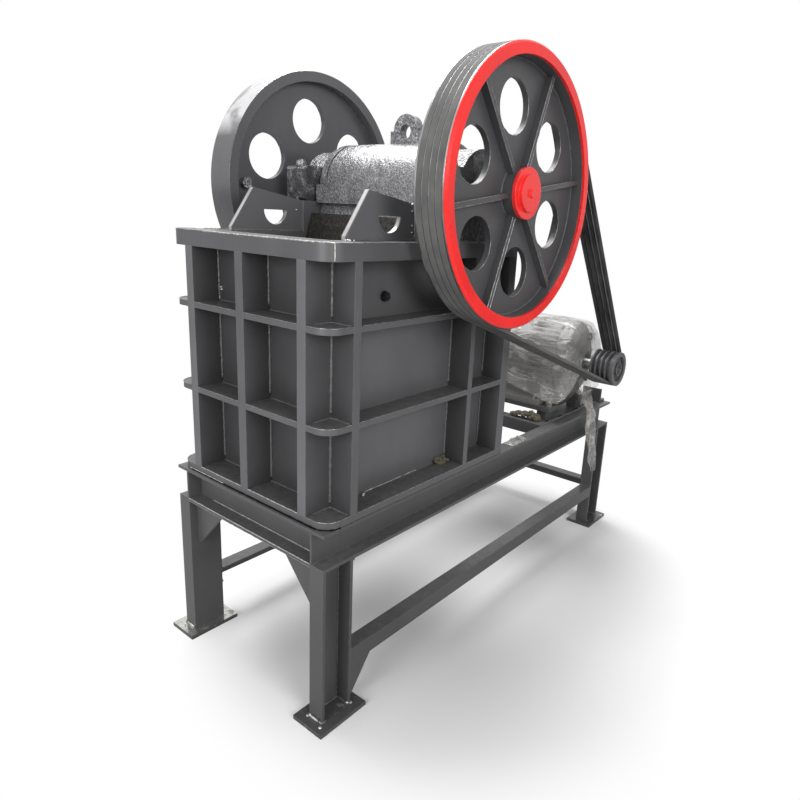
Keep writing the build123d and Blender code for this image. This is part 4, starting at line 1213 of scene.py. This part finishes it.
def crease(place, scale):
    return noise.ridged_multi_fractal(
        Vector(place) * scale, 0.9, 2.1, 4, 0.9, 1.6, noise_basis="PERLIN_ORIGINAL"
    )


film_girth = 0.782
flap_to = 0.095
flap_from = 0.687
film_arc = 0.592
film_radius = 0.163
# Share of the length, place along the motor, and size of the round there.
film_rows = (
    (0.0, -0.309, 0.21),
    (0.10, -0.316, 0.55),
    (0.18, -0.309, 0.84),
    (0.25, -0.290, 0.98),
    (0.31, -0.262, 1.0),
    (0.90, 0.10, 1.0),
    (1.0, 0.151, 0.97),
)


def over_motor(u, v):
    # Across the film, u goes up one flap, round the frame and down the other flap. Along
    # it, v goes from the drawn-in mouth at the shaft to the fan cowl.
    for (v0, y0, f0), (v1, y1, f1) in zip(film_rows, film_rows[1:]):
        if v <= v1:
            break
    share = (v - v0) / (v1 - v0)
    y = y0 + (y1 - y0) * share
    size = f0 + (f1 - f0) * share
    travel = u * (film_girth - 0.080 * smooth(0.25, 1.0, v))
    if travel < flap_to:
        x, z, out_x, out_z = 0.172 - 0.147 * travel, -0.137 + 1.021 * travel, 1.0, 0.0
    elif travel < flap_from:
        angle = radians(-14 + 208 * (travel - flap_to) / film_arc)
        out_x, out_z = cos(angle), sin(angle)
        x, z = film_radius * out_x, film_radius * out_z
    else:
        rest = film_girth - travel
        x, z, out_x, out_z = -0.172 + 0.147 * rest, -0.137 + 1.021 * rest, -1.0, 0.0
    hem = 1.0 - smooth(0.0, 0.14, u) * (1.0 - smooth(0.86, 1.0, u))
    # The terminal box pushes the film out on its side.
    box_up = smooth(-0.11, -0.045, z) * (1.0 - smooth(0.085, 0.135, z))
    box_bulge = box_up * smooth(-0.272, -0.232, y) * (1.0 - smooth(-0.084, -0.04, y))
    push = 0.050 * box_bulge if x > 0 else 0.0
    wrinkle = crease((x, y * 0.35, z), 6.0)
    push += min(max(wrinkle - 0.55, 0.0), 1.6) * (0.0075 + 0.007 * hem)
    pleat = noise.noise(Vector((out_x * 5.0, out_z * 5.0, y * 3.0)))
    gathered = 1.0 - smooth(0.2, 1.0, size)
    y += 0.007 * pleat * gathered + 0.003 * noise.noise(Vector((x, y, z)) * 30.0)
    x = x + out_x * push
    z = z + out_z * push + 0.004 * hem * noise.noise(Vector((x * 20, y * 20, 1.0)))
    size *= 1.0 + 0.05 * gathered * pleat
    return (motor_x + x * size, y, motor_z + z * size)


motor_film = film_piece("film_over_motor", 230, 150, over_motor)

tail_route = [
    (0.565, -0.288, 0.690), (0.580, -0.300, 0.640), (0.590, -0.312, 0.585),
    (0.598, -0.326, 0.540), (0.600, -0.329, 0.490), (0.618, -0.327, 0.440),
    (0.636, -0.330, 0.385), (0.655, -0.327, 0.330), (0.682, -0.329, 0.268),
]


def down_tail(u, v):
    # The tail is wide at the motor, drawn narrow below it, fuller halfway down and narrow
    # again at its end.
    spot = v * (len(tail_route) - 1)
    index = min(int(spot), len(tail_route) - 2)
    a, b = Vector(tail_route[index]), Vector(tail_route[index + 1])
    centre = a.lerp(b, spot - index)
    width = 0.105 - 0.045 * smooth(0.0, 0.35, v) + 0.028 * smooth(0.42, 0.6, v)
    width = width - 0.035 * smooth(0.8, 1.0, v) + 0.014 * noise.noise(Vector((v * 9.0, 3.0, 0.0)))
    x = (u - 0.5) * width
    fold = 0.0085 * sin(u * 9.0 + 5.0 * v + 3.0 * noise.noise(Vector((u * 3.0, v * 5.0, 2.0))))
    rough = 0.0035 * (crease((x, v * 0.30, 0.3), 16.0) - 0.8)
    hem = 0.012 * noise.noise(Vector((u * 5.0, 1.0, 5.0))) * smooth(0.85, 1.0, v)
    y = max(centre.y + fold * 0.7 + rough, -0.343)
    return (centre.x + x, y, centre.z + hem + 0.004 * noise.noise(Vector((x * 60, v * 9, 0.0))))


tail = film_piece("film_tail", 40, 170, down_tail)


def on_channel(u, v):
    # A torn-off scrap, flat at its rim and arched between.
    x = 0.030 + 0.10 * u + 0.010 * noise.noise(Vector((u * 3.0, v * 3.0, 8.0)))
    y = -0.304 + 0.040 * v + 0.006 * noise.noise(Vector((u * 4.0, v * 4.0, 2.0)))
    arch = sin(pi * min(max(u, 0.0), 1.0)) * sin(pi * min(max(v, 0.0), 1.0))
    z = deck_top + 0.012 * arch + 0.010 * arch * max(crease((x, y, 0.0), 38.0) - 0.5, 0.0)
    return (x, y, z)


scrap = film_piece("film_scrap", 60, 26, on_channel)


# Site dirt: clods of dried clay on the bottom flange and beside a slide bar, and drops
# of weld spatter that were never knocked off.
clod_tree, given = new_tree(
    "scattered_clods", {"Clod radius": 0.006, "Roughness of skin": 0.003, "Flatness": 0.7}
)
ball = add(
    clod_tree, "GeometryNodeMeshIcoSphere", {"Subdivisions": 3}, {"Radius": given["Clod radius"]}
)
size = add(clod_tree, "FunctionNodeRandomValue", {2: 0.45, 3: 1.35, 8: 11}, data_type="FLOAT")
flat = add(clod_tree, "ShaderNodeCombineXYZ", {"X": 1.0, "Y": 1.0}, {"Z": given["Flatness"]})
size = add(
    clod_tree, "ShaderNodeVectorMath", {}, {0: flat.outputs[0], "Scale": size.outputs[1]},
    operation="SCALE",
)
clods = add(
    clod_tree, "GeometryNodeInstanceOnPoints", {},
    {"Points": given["Geometry"], "Instance": ball.outputs[0], "Scale": size.outputs[0]},
)
clods = add(clod_tree, "GeometryNodeRealizeInstances", {}, {"Geometry": clods.outputs[0]})
skin = add(clod_tree, "ShaderNodeTexNoise", {"Scale": 170.0, "Detail": 2.0})
skin = add(
    clod_tree, "ShaderNodeVectorMath", {1: (0.5, 0.5, 0.5)}, {0: skin.outputs["Color"]},
    operation="SUBTRACT",
)
skin = add(
    clod_tree, "ShaderNodeVectorMath", {},
    {0: skin.outputs[0], "Scale": given["Roughness of skin"]}, operation="SCALE",
)
clods = add(
    clod_tree, "GeometryNodeSetPosition", {},
    {"Geometry": clods.outputs[0], "Offset": skin.outputs[0]},
)
end_tree(clod_tree, clods.outputs[0], given)


def scatter(name, places, sizes, material):
    mesh = bpy.data.meshes.new(name)
    mesh.from_pydata(places, [], [])
    grow(name, mesh, clod_tree, sizes, material, "crusher_and_stand")


# Dried clay is matt, grey-brown and crumbly, in crumbs of 4 mm.
mud, tree = new_material("dried_clay_mud")
place = add(tree, "ShaderNodeTexCoord").outputs["Object"]
grain = add(tree, "ShaderNodeTexNoise", {"Scale": 240.0, "Detail": 5.0}, {"Vector": place})
base = add(
    tree, "ShaderNodeMix", {6: colour("3A382F"), 7: colour("6E6A5A")}, {0: grain.outputs[0]},
    data_type="RGBA",
)
bump = add(
    tree, "ShaderNodeBump", {"Strength": 0.8, "Distance": 0.001}, {"Height": grain.outputs[0]}
)
clay = add(
    tree, "ShaderNodeBsdfPrincipled", {"Roughness": 0.9},
    {"Base Color": base.outputs[2], "Normal": bump.outputs[0]},
)
add(tree, "ShaderNodeOutputMaterial", {}, {"Surface": clay.outputs[0]})
mud_places = []
for step in range(34):
    x = -0.318 + 0.135 * (step / 33)
    if -0.272 < x < -0.242:
        continue
    spread = 0.5 + 0.5 * sin(step * 2.4)
    mud_places.append((x, -0.2395 - 0.016 * spread, 0.5625 + 0.010 * (1.0 - spread)))
scatter(
    "mud_on_flange", mud_places,
    {"Clod radius": 0.0075, "Roughness of skin": 0.005, "Flatness": 0.75}, mud,
)
grit_places = []
for step in range(38):
    share = step / 37
    wave = 0.5 + 0.5 * sin(step * 1.9)
    drift = 0.5 + 0.5 * sin(step * 3.1 + 1.0)
    grit_places.append(
        (0.333 + 0.030 * wave, -0.225 + 0.110 * share, 0.546 + 0.022 * drift * sin(pi * share))
    )
scatter(
    "grit_by_slide_bar", grit_places,
    {"Clod radius": 0.0095, "Roughness of skin": 0.008, "Flatness": 0.8}, mud,
)
spatter_places = [
    (-0.7300, -0.2420, 0.5625), (-0.7220, -0.2480, 0.5620), (-0.7180, -0.2850, 0.5620),
    (-0.7100, -0.2780, 0.5625), (-0.6320, -0.2480, 0.5620), (-0.6250, -0.2440, 0.5625),
    (-0.8330, -0.2640, 0.0140), (-0.8290, -0.3060, 0.0150), (-0.8390, -0.3180, 0.0130),
    (-0.7280, -0.3150, 0.0150), (-0.7760, -0.2520, 0.0130), (-0.8440, 0.2950, 0.0130),
    (-0.8370, 0.3020, 0.0135), (-0.7372, 0.1950, 1.0620), (-0.7372, 0.1930, 1.0560),
    (-0.7000, -0.2380, 1.2110), (-0.6880, -0.2340, 1.2115), (-0.6820, -0.2330, 1.2110),
    (-0.6700, -0.2360, 1.2110), (-0.4560, -0.2285, 1.3000), (-0.4555, -0.2285, 1.2840),
    (-0.4550, -0.2290, 1.2480), (-0.4545, -0.2290, 1.2310), (-0.4650, 0.2115, 1.2720),
    (-0.0800, -0.2450, 0.5620), (-0.0720, -0.2520, 0.5620), (-0.0860, -0.2560, 0.5620),
]
scatter(
    "weld_spatter", spatter_places,
    {"Clod radius": 0.0040, "Roughness of skin": 0.0016, "Flatness": 0.7}, bare_weld_and_highlight_metal,
)
